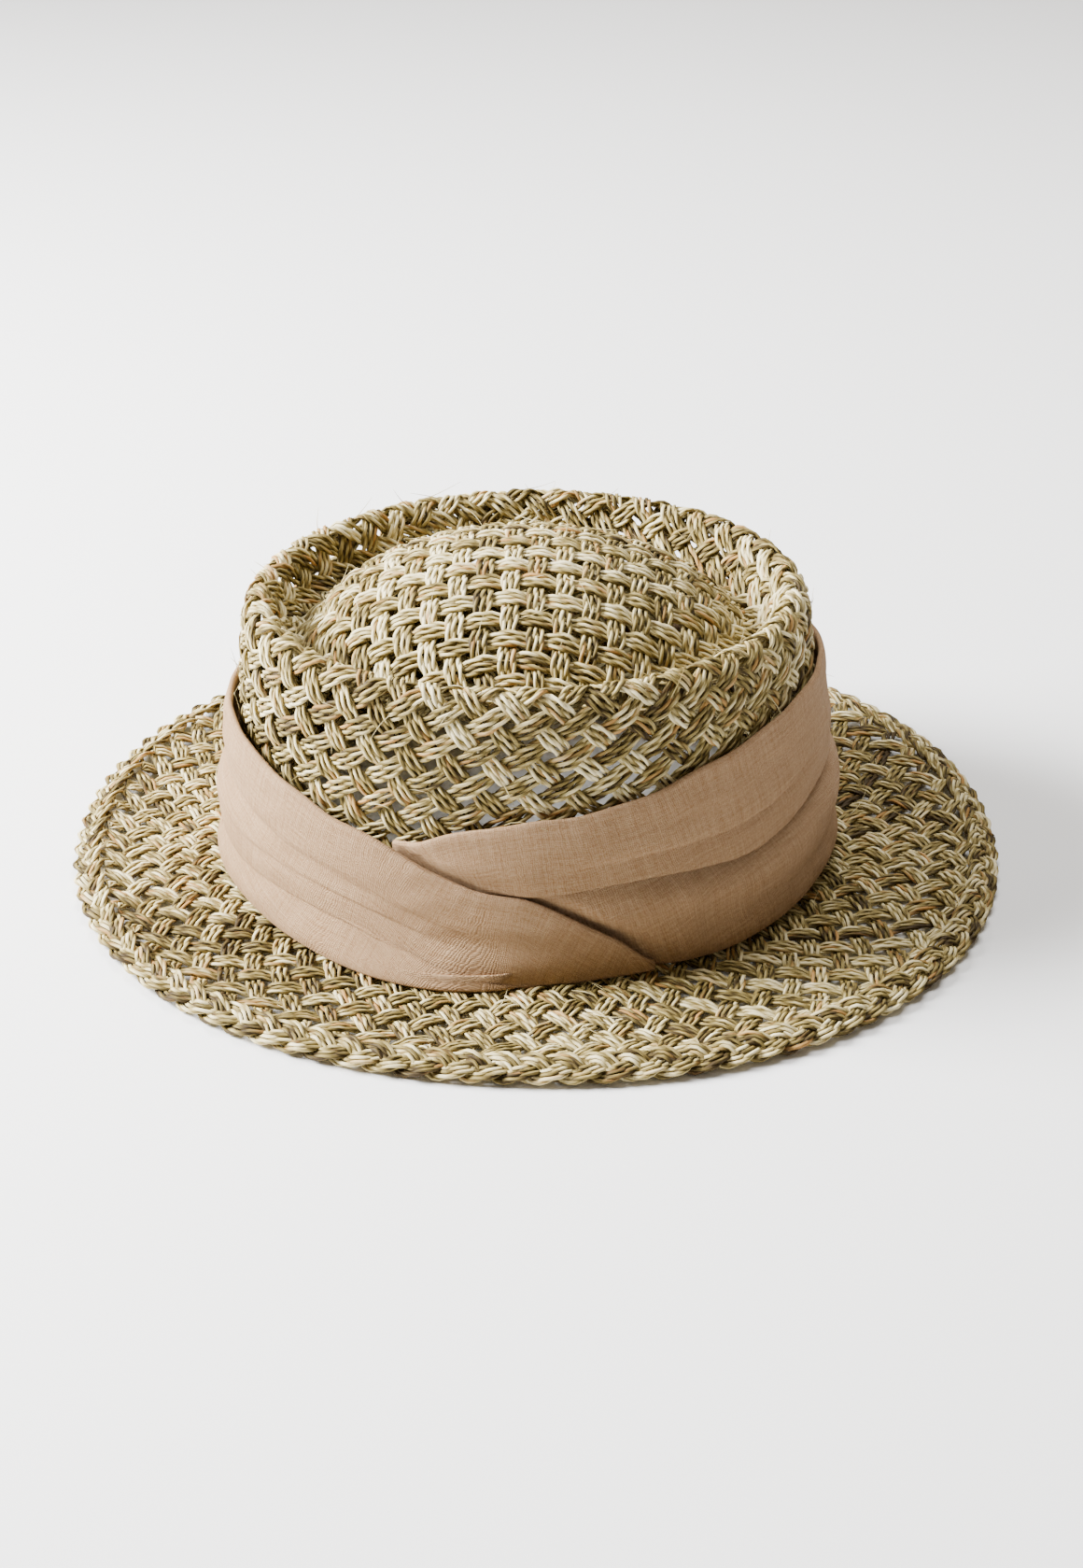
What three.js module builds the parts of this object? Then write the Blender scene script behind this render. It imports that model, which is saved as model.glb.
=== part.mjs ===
// Woven grass sun hat: a telescope crown with a domed tip, a round brim with a plaited edge,
// and a linen scarf that is wound round the crown and crosses itself at the front.
// Millimetres, +Z up, the brim lies on Z = 0, the hat's long axis runs along X, its front faces -Y.
import * as THREE from "three";

// Driving dimensions
const STRAW_WALL = 3; // two crossing bundles of twisted grass
const LINEN_WALL = 2.2; // folded linen, several layers
const GAP = 0.3; // clear space between touching pieces
const CROWN_SHIFT = -3; // the crown stands a little to one side of the brim's middle
const AROUND = 48; // columns round the crown
const BRIM_AROUND = 60; // columns round the brim and its edge
const COLLAR_TOP = 12; // height where brim and crown meet, under the scarf
const BRAID_HALF_WIDTH = 5.5;
const BRAID_HALF_HEIGHT = 3.1;
const BRAID_SIDES = 10;
const SCARF_STEP = 6; // degrees between two sections of the scarf
const SCARF_POINTS = 13; // points up one section of the scarf
const CREASE_WIDTH = 3.6; // half width of a crease in the linen
const NUDGE = 0.01; // step along rows or angle that a surface's normal is measured over
const FLAT_TIP = 1e-9; // a normal shorter than this belongs to the pole of the dome
const HALVINGS = 24; // steps of the search for a height along the rows

// Middle of the crown's wall from hem to tip: half length, half width, height and turn of each oval.
const CROWN_ROWS = [
  { halfLength: 102.5, halfWidth: 89.5, height: COLLAR_TOP + GAP, turn: 0 },
  { halfLength: 101.8, halfWidth: 88.8, height: 32, turn: 1 },
  { halfLength: 100.8, halfWidth: 87.8, height: 55, turn: 3 },
  { halfLength: 99.9, halfWidth: 86.6, height: 76, turn: 6 },
  { halfLength: 98.9, halfWidth: 85.4, height: 88.5, turn: 8 },
  { halfLength: 98.0, halfWidth: 84.4, height: 95.2, turn: 9 },
  { halfLength: 95.9, halfWidth: 82.3, height: 100.3, turn: 9 },
  { halfLength: 92.5, halfWidth: 79.0, height: 102.3, turn: 9 },
  { halfLength: 89.3, halfWidth: 75.8, height: 100.2, turn: 9 },
  { halfLength: 86.9, halfWidth: 73.2, height: 95.0, turn: 8 },
  { halfLength: 84.0, halfWidth: 70.2, height: 88.8, turn: 6 },
  { halfLength: 79.2, halfWidth: 65.8, height: 85.6, turn: 4 },
  { halfLength: 73.6, halfWidth: 60.8, height: 89.4, turn: 2 },
  { halfLength: 65.5, halfWidth: 53.5, height: 97.4, turn: 0 },
  { halfLength: 54.0, halfWidth: 44.0, height: 104.6, turn: 0 },
  { halfLength: 38.0, halfWidth: 31.0, height: 111.0, turn: 0 },
  { halfLength: 19.0, halfWidth: 15.5, height: 115.6, turn: 0 },
  { halfLength: 0, halfWidth: 0, height: 117.0, turn: 0 },
];
const CROWN_SIDE_ROWS = 4; // rows from the hem where the crown's side is upright
// The crown's pieces as stretches of the rows above, a hair's breadth apart.
const CROWN_PIECES = [
  { name: "crown_side", from: 0, to: 6.9, steps: 9 },
  { name: "crown_groove", from: 7.1, to: 12.47, steps: 9 },
  { name: "crown_dome", from: 12.53, to: 17, steps: 7 },
];

// Middle of the brim's wall from its collar to the inner side of the plaited edge.
// The collar stands round the shifted crown, and power is the oval's squareness (2 is an ellipse).
const BRIM_ROWS = [
  { halfLength: 102.5, halfWidth: 89.5, height: COLLAR_TOP, shift: CROWN_SHIFT, power: 2 },
  { halfLength: 102.8, halfWidth: 89.8, height: 7.6, shift: CROWN_SHIFT, power: 2 },
  { halfLength: 104.6, halfWidth: 91.6, height: 3.4, shift: CROWN_SHIFT, power: 2 },
  { halfLength: 109.5, halfWidth: 96.5, height: 1.5, shift: CROWN_SHIFT, power: 2 },
  { halfLength: 130.0, halfWidth: 116.0, height: 1.5, shift: -1, power: 2.06 },
  { halfLength: 148.0, halfWidth: 133.0, height: 1.5, shift: 0, power: 2.11 },
  { halfLength: 156.7, halfWidth: 141.4, height: 3.4, shift: 0, power: 2.11 },
];
const BRAID_RING = { halfLength: 162.5, halfWidth: 147.0, height: 4.6, shift: 0, power: 2.11 };

// How far the linen's face stands off the straw at a height above the brim.
const STAND_OFF = [
  { height: 3, depth: 9.6 },
  { height: 14, depth: 9.4 },
  { height: 30, depth: 8.2 },
  { height: 50, depth: 6.6 },
  { height: 66, depth: 4.6 },
  { height: 84, depth: 3.6 },
];

// The run that comes round from the wearer's back on the left and lies on top at the crossing.
// Azimuth counts from the front (-Y) towards +X; low and high are the linen's edges, and the
// two creases are given by their height and depth. The creases run out under the lower edge.
const LEFT_RUN = [
  { azimuth: -179.6, low: 5.0, high: 68.0, upper: 44.0, upperDepth: 2.6, lower: 20.0, lowerDepth: 2.4 },
  { azimuth: -150.0, low: 4.6, high: 65.8, upper: 42.0, upperDepth: 2.8, lower: 16.0, lowerDepth: 2.6 },
  { azimuth: -120.0, low: 4.2, high: 64.5, upper: 41.0, upperDepth: 3.0, lower: 13.0, lowerDepth: 2.8 },
  { azimuth: -90.0, low: 4.0, high: 64.0, upper: 40.0, upperDepth: 3.0, lower: 12.5, lowerDepth: 2.6 },
  { azimuth: -63.0, low: 3.9, high: 63.6, upper: 38.5, upperDepth: 1.4, lower: 16.0, lowerDepth: 1.4 },
  { azimuth: -48.0, low: 3.8, high: 59.4, upper: 36.0, upperDepth: 1.0, lower: 18.0, lowerDepth: 1.4 },
  { azimuth: -36.0, low: 3.7, high: 54.0, upper: 33.0, upperDepth: 1.2, lower: 18.4, lowerDepth: 1.8 },
  { azimuth: -23.0, low: 3.6, high: 49.4, upper: 27.5, upperDepth: 1.4, lower: 15.0, lowerDepth: 2.0 },
  { azimuth: -9.0, low: 3.5, high: 38.6, upper: 19.6, upperDepth: 1.4, lower: 8.6, lowerDepth: 2.0 },
  { azimuth: 2.0, low: 3.5, high: 34.2, upper: 9.0, upperDepth: 1.2, lower: 3.5, lowerDepth: 1.0 },
  { azimuth: 10.0, low: 3.8, high: 27.2, upper: 1.0, upperDepth: 0.6, lower: -4.0, lowerDepth: 0 },
  { azimuth: 17.5, low: 4.0, high: 18.5, upper: -6.0, upperDepth: 0, lower: -8.0, lowerDepth: 0 },
  { azimuth: 24.2, low: 4.2, high: 8.4, upper: -12.0, upperDepth: 0, lower: -14.0, lowerDepth: 0 },
];

// The run that comes round on the right. Its lower end tucks under the left run along the seam:
// tuck is how far the linen's face is pressed in at its lower edge.
const RIGHT_RUN = [
  { azimuth: -22.6, low: 41.5, high: 50.0, upper: 20.0, upperDepth: 0, lower: 0, lowerDepth: 0, tuck: 1 },
  { azimuth: -9.0, low: 30.5, high: 58.0, upper: 28.0, upperDepth: 0, lower: 8.0, lowerDepth: 0, tuck: 1 },
  { azimuth: 2.0, low: 26.0, high: 61.2, upper: 36.6, upperDepth: 0.8, lower: 16.0, lowerDepth: 0, tuck: 1 },
  { azimuth: 10.0, low: 19.0, high: 62.8, upper: 38.8, upperDepth: 1.4, lower: 20.0, lowerDepth: 0, tuck: 1 },
  { azimuth: 17.5, low: 10.5, high: 65.2, upper: 40.2, upperDepth: 2.0, lower: 21.0, lowerDepth: 0.3, tuck: 1 },
  { azimuth: 25.0, low: 4.4, high: 68.0, upper: 40.8, upperDepth: 2.6, lower: 22.0, lowerDepth: 0.6, tuck: 0.45 },
  { azimuth: 34.0, low: 4.4, high: 71.8, upper: 40.8, upperDepth: 3.0, lower: 22.0, lowerDepth: 0.8, tuck: 0 },
  { azimuth: 45.0, low: 4.8, high: 75.0, upper: 40.2, upperDepth: 3.6, lower: 21.0, lowerDepth: 0.8, tuck: 0 },
  { azimuth: 57.0, low: 6.8, high: 78.6, upper: 42.2, upperDepth: 4.2, lower: 20.0, lowerDepth: 0.8, tuck: 0 },
  { azimuth: 70.0, low: 8.6, high: 80.8, upper: 46.4, upperDepth: 4.2, lower: 20.0, lowerDepth: 0.8, tuck: 0 },
  { azimuth: 90.0, low: 8.6, high: 80.0, upper: 47.0, upperDepth: 3.8, lower: 20.0, lowerDepth: 1.0, tuck: 0 },
  { azimuth: 120.0, low: 6.6, high: 77.0, upper: 48.0, upperDepth: 3.2, lower: 20.0, lowerDepth: 1.6, tuck: 0 },
  { azimuth: 150.0, low: 5.4, high: 72.4, upper: 46.0, upperDepth: 2.8, lower: 20.0, lowerDepth: 2.0, tuck: 0 },
  { azimuth: 179.6, low: 5.0, high: 68.0, upper: 44.0, upperDepth: 2.6, lower: 20.0, lowerDepth: 2.4, tuck: 0 },
];
const TUCK_START = 8.8; // up to here above the right run's lower edge it is pressed right in
const TUCK_HEIGHT = 16; // and from here up it isn't
const TUCKED_FACE = 2.9; // the tucked linen's face, off the straw
const CROSSING_LIFT = 3.4; // the left run's back stays this far off the straw where it crosses
const CROSSING_START = -40; // azimuths between which the left run rises over the right one
const CROSSING_FULL = -26;
const LEAST_BACK = 0.5; // the linen's back is never nearer the straw than this
const LEAST_LINEN = 1; // nor the linen thinner than this
const HEM_DROP = 0.9; // how far the linen's face draws in at its edges
const HEM_SHARPNESS = 8; // how close to the edge it does so

// A smooth Catmull-Rom curve through the rows' columns, at a place given in rows.
function rowAt(rows, place) {
  const last = rows.length - 1;
  const i = Math.min(Math.floor(place), last - 1);
  const t = place - i;
  const value = {};
  for (const key of Object.keys(rows[0])) {
    const p = [i - 1, i, i + 1, i + 2].map((k) => rows[THREE.MathUtils.clamp(k, 0, last)][key]);
    const slopeIn = (p[2] - p[0]) / 2;
    const slopeOut = (p[3] - p[1]) / 2;
    const rise = p[2] - p[1];
    const cubic = slopeIn + slopeOut - 2 * rise;
    const square = 3 * rise - 2 * slopeIn - slopeOut;
    value[key] = ((cubic * t + square) * t + slopeIn) * t + p[1];
  }
  return value;
}

// Straight-line reading of a table by one of its columns, eased between rows for a soft change.
function tableAt(rows, column, x) {
  let i = 0;
  while (i < rows.length - 2 && x > rows[i + 1][column]) i += 1;
  const span = rows[i + 1][column] - rows[i][column];
  const t = THREE.MathUtils.clamp((x - rows[i][column]) / span, 0, 1);
  const value = {};
  for (const key of Object.keys(rows[0])) value[key] = THREE.MathUtils.lerp(rows[i][key], rows[i + 1][key], t);
  return value;
}

// A point of a superellipse that is turned about Z and shifted along X.
function ovalPoint(row, angle) {
  const power = 2 / (row.power ?? 2);
  const c = Math.cos(angle);
  const s = Math.sin(angle);
  const x = row.halfLength * Math.sign(c) * Math.abs(c) ** power;
  const y = row.halfWidth * Math.sign(s) * Math.abs(s) ** power;
  const turn = THREE.MathUtils.degToRad(row.turn ?? 0);
  return new THREE.Vector3(
    (row.shift ?? CROWN_SHIFT) + x * Math.cos(turn) - y * Math.sin(turn),
    x * Math.sin(turn) + y * Math.cos(turn),
    row.height,
  );
}

// Closed skin round two facing grids of points, outer and inner. The columns either wrap round
// or end in a wall, and the last row is a single pole point when pole is true.
function slab(outer, inner, { wrap, pole = false }) {
  const rows = outer.length;
  const columns = outer[0].length;
  const points = [...outer.flat(), ...inner.flat()];
  const at = (side, i, j) => {
    const column = pole && i === rows - 1 ? 0 : j % columns;
    return side * rows * columns + i * columns + column;
  };
  const index = [];
  const quad = (a, b, c, d) => {
    if (a !== b && b !== c && a !== c) index.push(a, b, c);
    if (a !== c && c !== d && a !== d) index.push(a, c, d);
  };
  const spans = wrap ? columns : columns - 1;
  for (let i = 0; i < rows - 1; i += 1) {
    for (let j = 0; j < spans; j += 1) {
      quad(at(0, i, j), at(0, i, j + 1), at(0, i + 1, j + 1), at(0, i + 1, j));
      quad(at(1, i, j), at(1, i + 1, j), at(1, i + 1, j + 1), at(1, i, j + 1));
    }
    if (!wrap) {
      quad(at(0, i, 0), at(0, i + 1, 0), at(1, i + 1, 0), at(1, i, 0));
      quad(at(0, i, columns - 1), at(1, i, columns - 1), at(1, i + 1, columns - 1), at(0, i + 1, columns - 1));
    }
  }
  for (let j = 0; j < spans; j += 1) {
    quad(at(0, 0, j + 1), at(0, 0, j), at(1, 0, j), at(1, 0, j + 1));
    if (!pole) {
      const i = rows - 1;
      quad(at(0, i, j), at(0, i, j + 1), at(1, i, j + 1), at(1, i, j));
    }
  }
  const geometry = new THREE.BufferGeometry().setFromPoints(points);
  geometry.setIndex(index);
  geometry.computeVertexNormals();
  return geometry;
}

// Both faces of a wall, half a thickness either side of its middle surface: one closed ring of
// points for each place along the table of rows. The first face is the one the rows turn out.
function wallFaces(rows, places, around, thickness) {
  const last = rows.length - 1;
  const point = (place, angle) => ovalPoint(rowAt(rows, THREE.MathUtils.clamp(place, 0, last)), angle);
  const outer = [];
  const inner = [];
  for (const place of places) {
    const middle = Array.from({ length: around }, (_, j) => {
      const angle = (j / around) * 2 * Math.PI;
      const along = point(place + NUDGE, angle).sub(point(place - NUDGE, angle));
      const across = point(place, angle + NUDGE).sub(point(place, angle - NUDGE));
      const normal = across.cross(along);
      if (normal.lengthSq() < FLAT_TIP) normal.set(0, 0, 1);
      return { at: point(place, angle), normal: normal.normalize() };
    });
    outer.push(middle.map(({ at, normal }) => at.clone().addScaledVector(normal, thickness / 2)));
    inner.push(middle.map(({ at, normal }) => at.clone().addScaledVector(normal, -thickness / 2)));
  }
  return { outer, inner };
}

// One stretch of the crown's wall. Its hem is level, and its last row may be the pole of the dome.
function crownGeometry({ from, to, steps }) {
  const places = Array.from({ length: steps + 1 }, (_, i) => from + ((to - from) * i) / steps);
  const { outer, inner } = wallFaces(CROWN_ROWS, places, AROUND, STRAW_WALL);
  if (from === 0) for (const side of [outer, inner]) side[0].forEach((point) => point.setZ(COLLAR_TOP + GAP));
  return slab(outer, inner, { wrap: true, pole: to === CROWN_ROWS.length - 1 });
}

// The brim's rows run outwards, so their outer face is its underside, which lies flat on Z = 0.
function brimGeometry() {
  const places = BRIM_ROWS.map((_, i) => i);
  const { outer, inner } = wallFaces(BRIM_ROWS, places, BRIM_AROUND, STRAW_WALL);
  for (const side of [outer, inner]) side[0].forEach((point) => point.setZ(COLLAR_TOP));
  BRIM_ROWS.forEach((row, i) => {
    if (row.height !== STRAW_WALL / 2) return;
    outer[i].forEach((point) => point.setZ(0));
    inner[i].forEach((point) => point.setZ(STRAW_WALL));
  });
  return slab(outer, inner, { wrap: true });
}

// A ring of oval section for the thick plait that binds the brim's edge.
function braidGeometry() {
  const rings = Array.from({ length: BRAID_SIDES }, (_, k) => {
    const angle = (k / BRAID_SIDES) * 2 * Math.PI;
    const row = {
      ...BRAID_RING,
      halfLength: BRAID_RING.halfLength + BRAID_HALF_WIDTH * Math.cos(angle),
      halfWidth: BRAID_RING.halfWidth + BRAID_HALF_WIDTH * Math.cos(angle),
      height: BRAID_RING.height + BRAID_HALF_HEIGHT * Math.sin(angle),
    };
    return Array.from({ length: BRIM_AROUND }, (_, j) => ovalPoint(row, (j / BRIM_AROUND) * 2 * Math.PI));
  });
  const index = [];
  for (let k = 0; k < BRAID_SIDES; k += 1) {
    for (let j = 0; j < BRIM_AROUND; j += 1) {
      const a = k * BRIM_AROUND + j;
      const b = k * BRIM_AROUND + ((j + 1) % BRIM_AROUND);
      const c = ((k + 1) % BRAID_SIDES) * BRIM_AROUND + ((j + 1) % BRIM_AROUND);
      const d = ((k + 1) % BRAID_SIDES) * BRIM_AROUND + j;
      index.push(a, b, c, a, c, d);
    }
  }
  const geometry = new THREE.BufferGeometry().setFromPoints(rings.flat());
  geometry.setIndex(index);
  geometry.computeVertexNormals();
  return geometry;
}

// The crown's outer face at a height on its side, found by halving the stretch of rows it lies in.
function strawFace(height) {
  let low = 0;
  let high = CROWN_SIDE_ROWS;
  for (let i = 0; i < HALVINGS; i += 1) {
    const middle = (low + high) / 2;
    if (rowAt(CROWN_ROWS, middle).height < height) low = middle;
    else high = middle;
  }
  const row = rowAt(CROWN_ROWS, low);
  return { ...row, halfLength: row.halfLength + STRAW_WALL / 2, halfWidth: row.halfWidth + STRAW_WALL / 2 };
}

// A point that stands off the straw by depth, at an azimuth from the front and a height.
function overStraw(azimuth, height, depth) {
  const face = strawFace(height);
  const angle = THREE.MathUtils.degToRad(azimuth - face.turn) - Math.PI / 2;
  const row = { ...face, halfLength: face.halfLength + depth, halfWidth: face.halfWidth + depth, height };
  return ovalPoint(row, angle);
}

const dip = (height, crease, depth) => depth * Math.exp(-(((height - crease) / CREASE_WIDTH) ** 2));

// One section of a run: the linen bellies out between its edges and its creases.
function sectionOf(row, crossing) {
  const outer = [];
  const inner = [];
  for (let k = 0; k < SCARF_POINTS; k += 1) {
    const share = k / (SCARF_POINTS - 1);
    const height = THREE.MathUtils.lerp(row.low, row.high, share);
    const belly = tableAt(STAND_OFF, "height", height).depth;
    const edge = Math.abs(2 * share - 1) ** HEM_SHARPNESS;
    let face = belly - dip(height, row.upper, row.upperDepth) - dip(height, row.lower, row.lowerDepth);
    face -= edge * HEM_DROP;
    if (row.tuck) {
      const up = THREE.MathUtils.smoothstep(height - row.low, TUCK_START, TUCK_HEIGHT);
      face = THREE.MathUtils.lerp(face, TUCKED_FACE, row.tuck * (1 - up));
    }
    if (crossing > 0) face = Math.max(face, crossing * (CROSSING_LIFT + LINEN_WALL));
    const back = Math.max(face - LINEN_WALL, LEAST_BACK);
    outer.push(overStraw(row.azimuth, height, Math.max(face, back + LEAST_LINEN)));
    inner.push(overStraw(row.azimuth, height, back));
  }
  return { outer, inner };
}

function runGeometry(rows, crossingAt) {
  const first = rows[0].azimuth;
  const last = rows[rows.length - 1].azimuth;
  const count = Math.ceil((last - first) / SCARF_STEP);
  const sections = Array.from({ length: count + 1 }, (_, i) => {
    const azimuth = first + ((last - first) * i) / count;
    return sectionOf(tableAt(rows, "azimuth", azimuth), crossingAt(azimuth));
  });
  return slab(
    sections.map((section) => section.inner),
    sections.map((section) => section.outer),
    { wrap: false },
  );
}

const STRAW = new THREE.MeshStandardMaterial({ color: 0xb9a983, roughness: 0.75, metalness: 0 });
const PLAIT = new THREE.MeshStandardMaterial({ color: 0xac9c74, roughness: 0.75, metalness: 0 });
const LINEN = new THREE.MeshStandardMaterial({ color: 0xb89a82, roughness: 0.95, metalness: 0 });

function named(name, geometry, material) {
  const mesh = new THREE.Mesh(geometry, material);
  mesh.name = name;
  return mesh;
}

// The left run lies over the right one from a little before the seam's tip to its end.
const overTheRightRun = (azimuth) => THREE.MathUtils.smoothstep(azimuth, CROSSING_START, CROSSING_FULL);

const hat = new THREE.Group();
hat.name = "sun_hat";
hat.add(
  ...CROWN_PIECES.map((piece) => named(piece.name, crownGeometry(piece), STRAW)),
  named("brim", brimGeometry(), STRAW),
  named("brim_edge_plait", braidGeometry(), PLAIT),
  named("scarf_left_run", runGeometry(LEFT_RUN, overTheRightRun), LINEN),
  named("scarf_right_run", runGeometry(RIGHT_RUN, () => 0), LINEN),
);

export default hat;
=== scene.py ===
"""Woven grass sun hat with a linen scarf, rebuilt over its CAD frame.

The straw is an open plain weave of bundles of twisted cords. Its crossings are laid out on the
crown's and the brim's own surfaces, each bundle is swept through them, over and under in turn,
and a flat plait binds the edge. The scarf is two runs of folded linen. Sizes are in millimetres
up to the point where a mesh is made.
"""

from __future__ import annotations

import logging
import math
from collections.abc import Callable
from dataclasses import dataclass
from enum import Enum

import bpy
import numpy as np
from mathutils import Matrix, Vector

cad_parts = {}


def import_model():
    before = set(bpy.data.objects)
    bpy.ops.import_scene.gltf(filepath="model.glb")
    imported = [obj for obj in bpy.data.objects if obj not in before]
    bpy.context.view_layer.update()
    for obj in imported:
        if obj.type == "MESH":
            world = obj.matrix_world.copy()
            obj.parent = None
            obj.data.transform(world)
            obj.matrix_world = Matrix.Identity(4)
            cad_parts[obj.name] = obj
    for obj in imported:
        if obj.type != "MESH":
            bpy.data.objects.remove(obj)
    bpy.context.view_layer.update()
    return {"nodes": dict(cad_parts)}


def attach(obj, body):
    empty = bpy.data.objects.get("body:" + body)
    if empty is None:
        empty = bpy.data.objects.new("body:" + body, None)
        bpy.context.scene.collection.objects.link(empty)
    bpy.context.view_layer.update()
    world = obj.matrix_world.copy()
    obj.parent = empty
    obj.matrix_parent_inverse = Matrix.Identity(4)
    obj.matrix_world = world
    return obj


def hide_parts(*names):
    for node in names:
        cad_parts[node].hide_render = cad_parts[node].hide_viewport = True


log = logging.getLogger("sun_hat")

MM = 0.001
TURN = 2 * math.pi
ROUND_STEPS = 720
TUBE_SIDES = 4
Array = np.ndarray
Triple = tuple[float, float, float]
Colour = Triple
Socket = bpy.types.NodeSocket


class Seed(Enum):
    """One seed for each kind of random draw."""

    CROSSINGS = 20
    CROWN = 21
    BRIM = 22
    PLAIT = 23
    STRAYS = 24

    def draws(self) -> np.random.Generator:
        """A fresh source of this seed's draws."""
        return np.random.default_rng(self.value)


class Family(Enum):
    """The two diagonal families of bundles, with the sign their azimuth changes by."""

    DOWN_RIGHT = 1
    UP_RIGHT = -1


# Arrays


def table(*rows: tuple[float, ...]) -> Array:
    """A table of sizes, row by row."""
    return np.array(rows, dtype=float)


def smooth_rows(rows: Array, place: Array) -> Array:
    """Read a table between its rows.

    Args:
        rows: the table.
        place: places along it, counted in rows.

    Returns:
        One row for each place, on a Catmull-Rom curve through the table.
    """
    last = len(rows) - 1
    i = np.clip(np.floor(place).astype(int), 0, last - 1)
    t = (place - i)[..., None]
    p0, p1, p2, p3 = (rows[np.clip(i + k, 0, last)] for k in (-1, 0, 1, 2))
    slope_in, slope_out, rise = (p2 - p0) / 2, (p3 - p1) / 2, p2 - p1
    cubic = slope_in + slope_out - 2 * rise
    square = 3 * rise - 2 * slope_in - slope_out
    return ((cubic * t + square) * t + slope_in) * t + p1


def smooth_table(rows: Array, azimuth: Array) -> list[Array]:
    """Read a table smoothly by its first column.

    Args:
        rows: rows of (azimuth, value, value...).
        azimuth: where it is read.

    Returns:
        One upright column of values for each of the table's other columns.
    """
    found = smooth_rows(rows, np.interp(azimuth, rows[:, 0], np.arange(len(rows))))
    return [found[:, k : k + 1] for k in range(1, rows.shape[1])]


def unit(v: Array) -> Array:
    """Vectors scaled to length 1."""
    return v / np.maximum(np.linalg.norm(v, axis=-1, keepdims=True), 1e-12)


def square_to(v: Array, along: Array) -> Array:
    """The part of each vector that is square to a direction, scaled to length 1."""
    return unit(v - (v * along).sum(-1, keepdims=True) * along)


def gaps(points: Array, axis: int) -> Array:
    """Distances between neighbours along one axis of a grid of points."""
    return np.linalg.norm(np.diff(points, axis=axis), axis=-1)


def running(steps: Array) -> Array:
    """Sums of the steps so far along the last axis, from 0."""
    return np.concatenate([np.zeros((*steps.shape[:-1], 1)), np.cumsum(steps, axis=-1)], axis=-1)


def eased(share: Array) -> Array:
    """A share held from 0 to 1, with soft ends: three times its square less twice its cube."""
    held = np.clip(share, 0, 1)
    return held * held * (3 - 2 * held)


def bell(distance: Array) -> Array:
    """The exponential of minus the distance squared: 1 in the middle and less to both sides."""
    return np.exp(-(distance**2))


def flat_wave(place: Array, flatten: float = 0.35) -> Array:
    """A wave that is 1 at even places and -1 at odd ones, with flatter tops than a cosine."""
    wave = np.cos(math.pi * place)
    return wave * (1 + flatten - flatten * wave**2)


def wander(rng: np.random.Generator, lines: int, run: Array, reach: float) -> Array:
    """Slow seeded drift along lines.

    Args:
        rng: the seeded source of its phases.
        lines: how many lines drift, each in its own way.
        run: length along the lines, lines by samples.
        reach: length of the longest swing, in millimetres.

    Returns:
        Values of about -1 to 1, a sum of three sines whose lengths are not multiples.
    """
    total = np.zeros((lines, run.shape[-1]))
    for share, weight in ((1.0, 0.5), (0.43, 0.3), (0.19, 0.2)):
        phase = rng.uniform(0, TURN, (lines, 1))
        total += weight * np.sin(run * TURN / (reach * share) + phase)
    return total


# Surfaces


def turned(x: Array, y: Array, z: Array, row: Array) -> Array:
    """Turn points about Z and shift them along X.

    Args:
        x: places along the oval's length.
        y: places along its width.
        z: heights.
        row: a surface's rows at those points, which hold the turn and the shift.

    Returns:
        The points.
    """
    turn = np.radians(row[..., 3])
    c, s = np.cos(turn), np.sin(turn)
    return np.stack([row[..., 4] + x * c - y * s, x * s + y * c, z], axis=-1)


@dataclass(frozen=True)
class RowSurface:
    """A wall's middle surface: ovals on a smooth curve through the rows of a table.

    Each row is (half length, half width, height, turn in degrees, shift along X, squareness).
    """

    rows: Array

    @property
    def last(self) -> int:
        """The last row's place."""
        return len(self.rows) - 1

    def row_at(self, place: Array) -> Array:
        """The rows at places between them."""
        return smooth_rows(self.rows, place)

    def points(self, place: Array, angle: Array) -> Array:
        """Points of the surface.

        Args:
            place: places along the table of rows.
            angle: angle of each point round its oval, from +X towards +Y.

        Returns:
            An array of points: a superellipse, turned about Z and shifted along X.
        """
        place, angle = np.broadcast_arrays(np.asarray(place, float), np.asarray(angle, float))
        row = self.row_at(np.clip(place, 0, self.last))
        power = 2 / row[..., 5]
        c, s = np.cos(angle), np.sin(angle)
        x = row[..., 0] * np.sign(c) * np.abs(c) ** power
        y = row[..., 1] * np.sign(s) * np.abs(s) ** power
        return turned(x, y, row[..., 2], row)

    def lengths(self, samples: int = 600, around: int = 24) -> tuple[Array, Array]:
        """Measure the surface along its rows.

        Args:
            samples: how many places are measured.
            around: how many lines round the hat the length is averaged over.

        Returns:
            The places, and the mean distance of each from the first row.
        """
        places = np.linspace(0, self.last, samples)
        angles = np.arange(around) / around * TURN
        grid = self.points(places[:, None], angles[None, :])
        return places, running(gaps(grid, 0).mean(axis=1))

    def shares(self, place: float, angles: Array) -> Array:
        """Measure one oval of the surface.

        Args:
            place: the oval's place along the table of rows.
            angles: angles once round it.

        Returns:
            The share of the way round, by length, at each angle.
        """
        steps = gaps(self.points(np.full_like(angles, place), angles), 0)
        return running(steps) / steps.sum()


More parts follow.
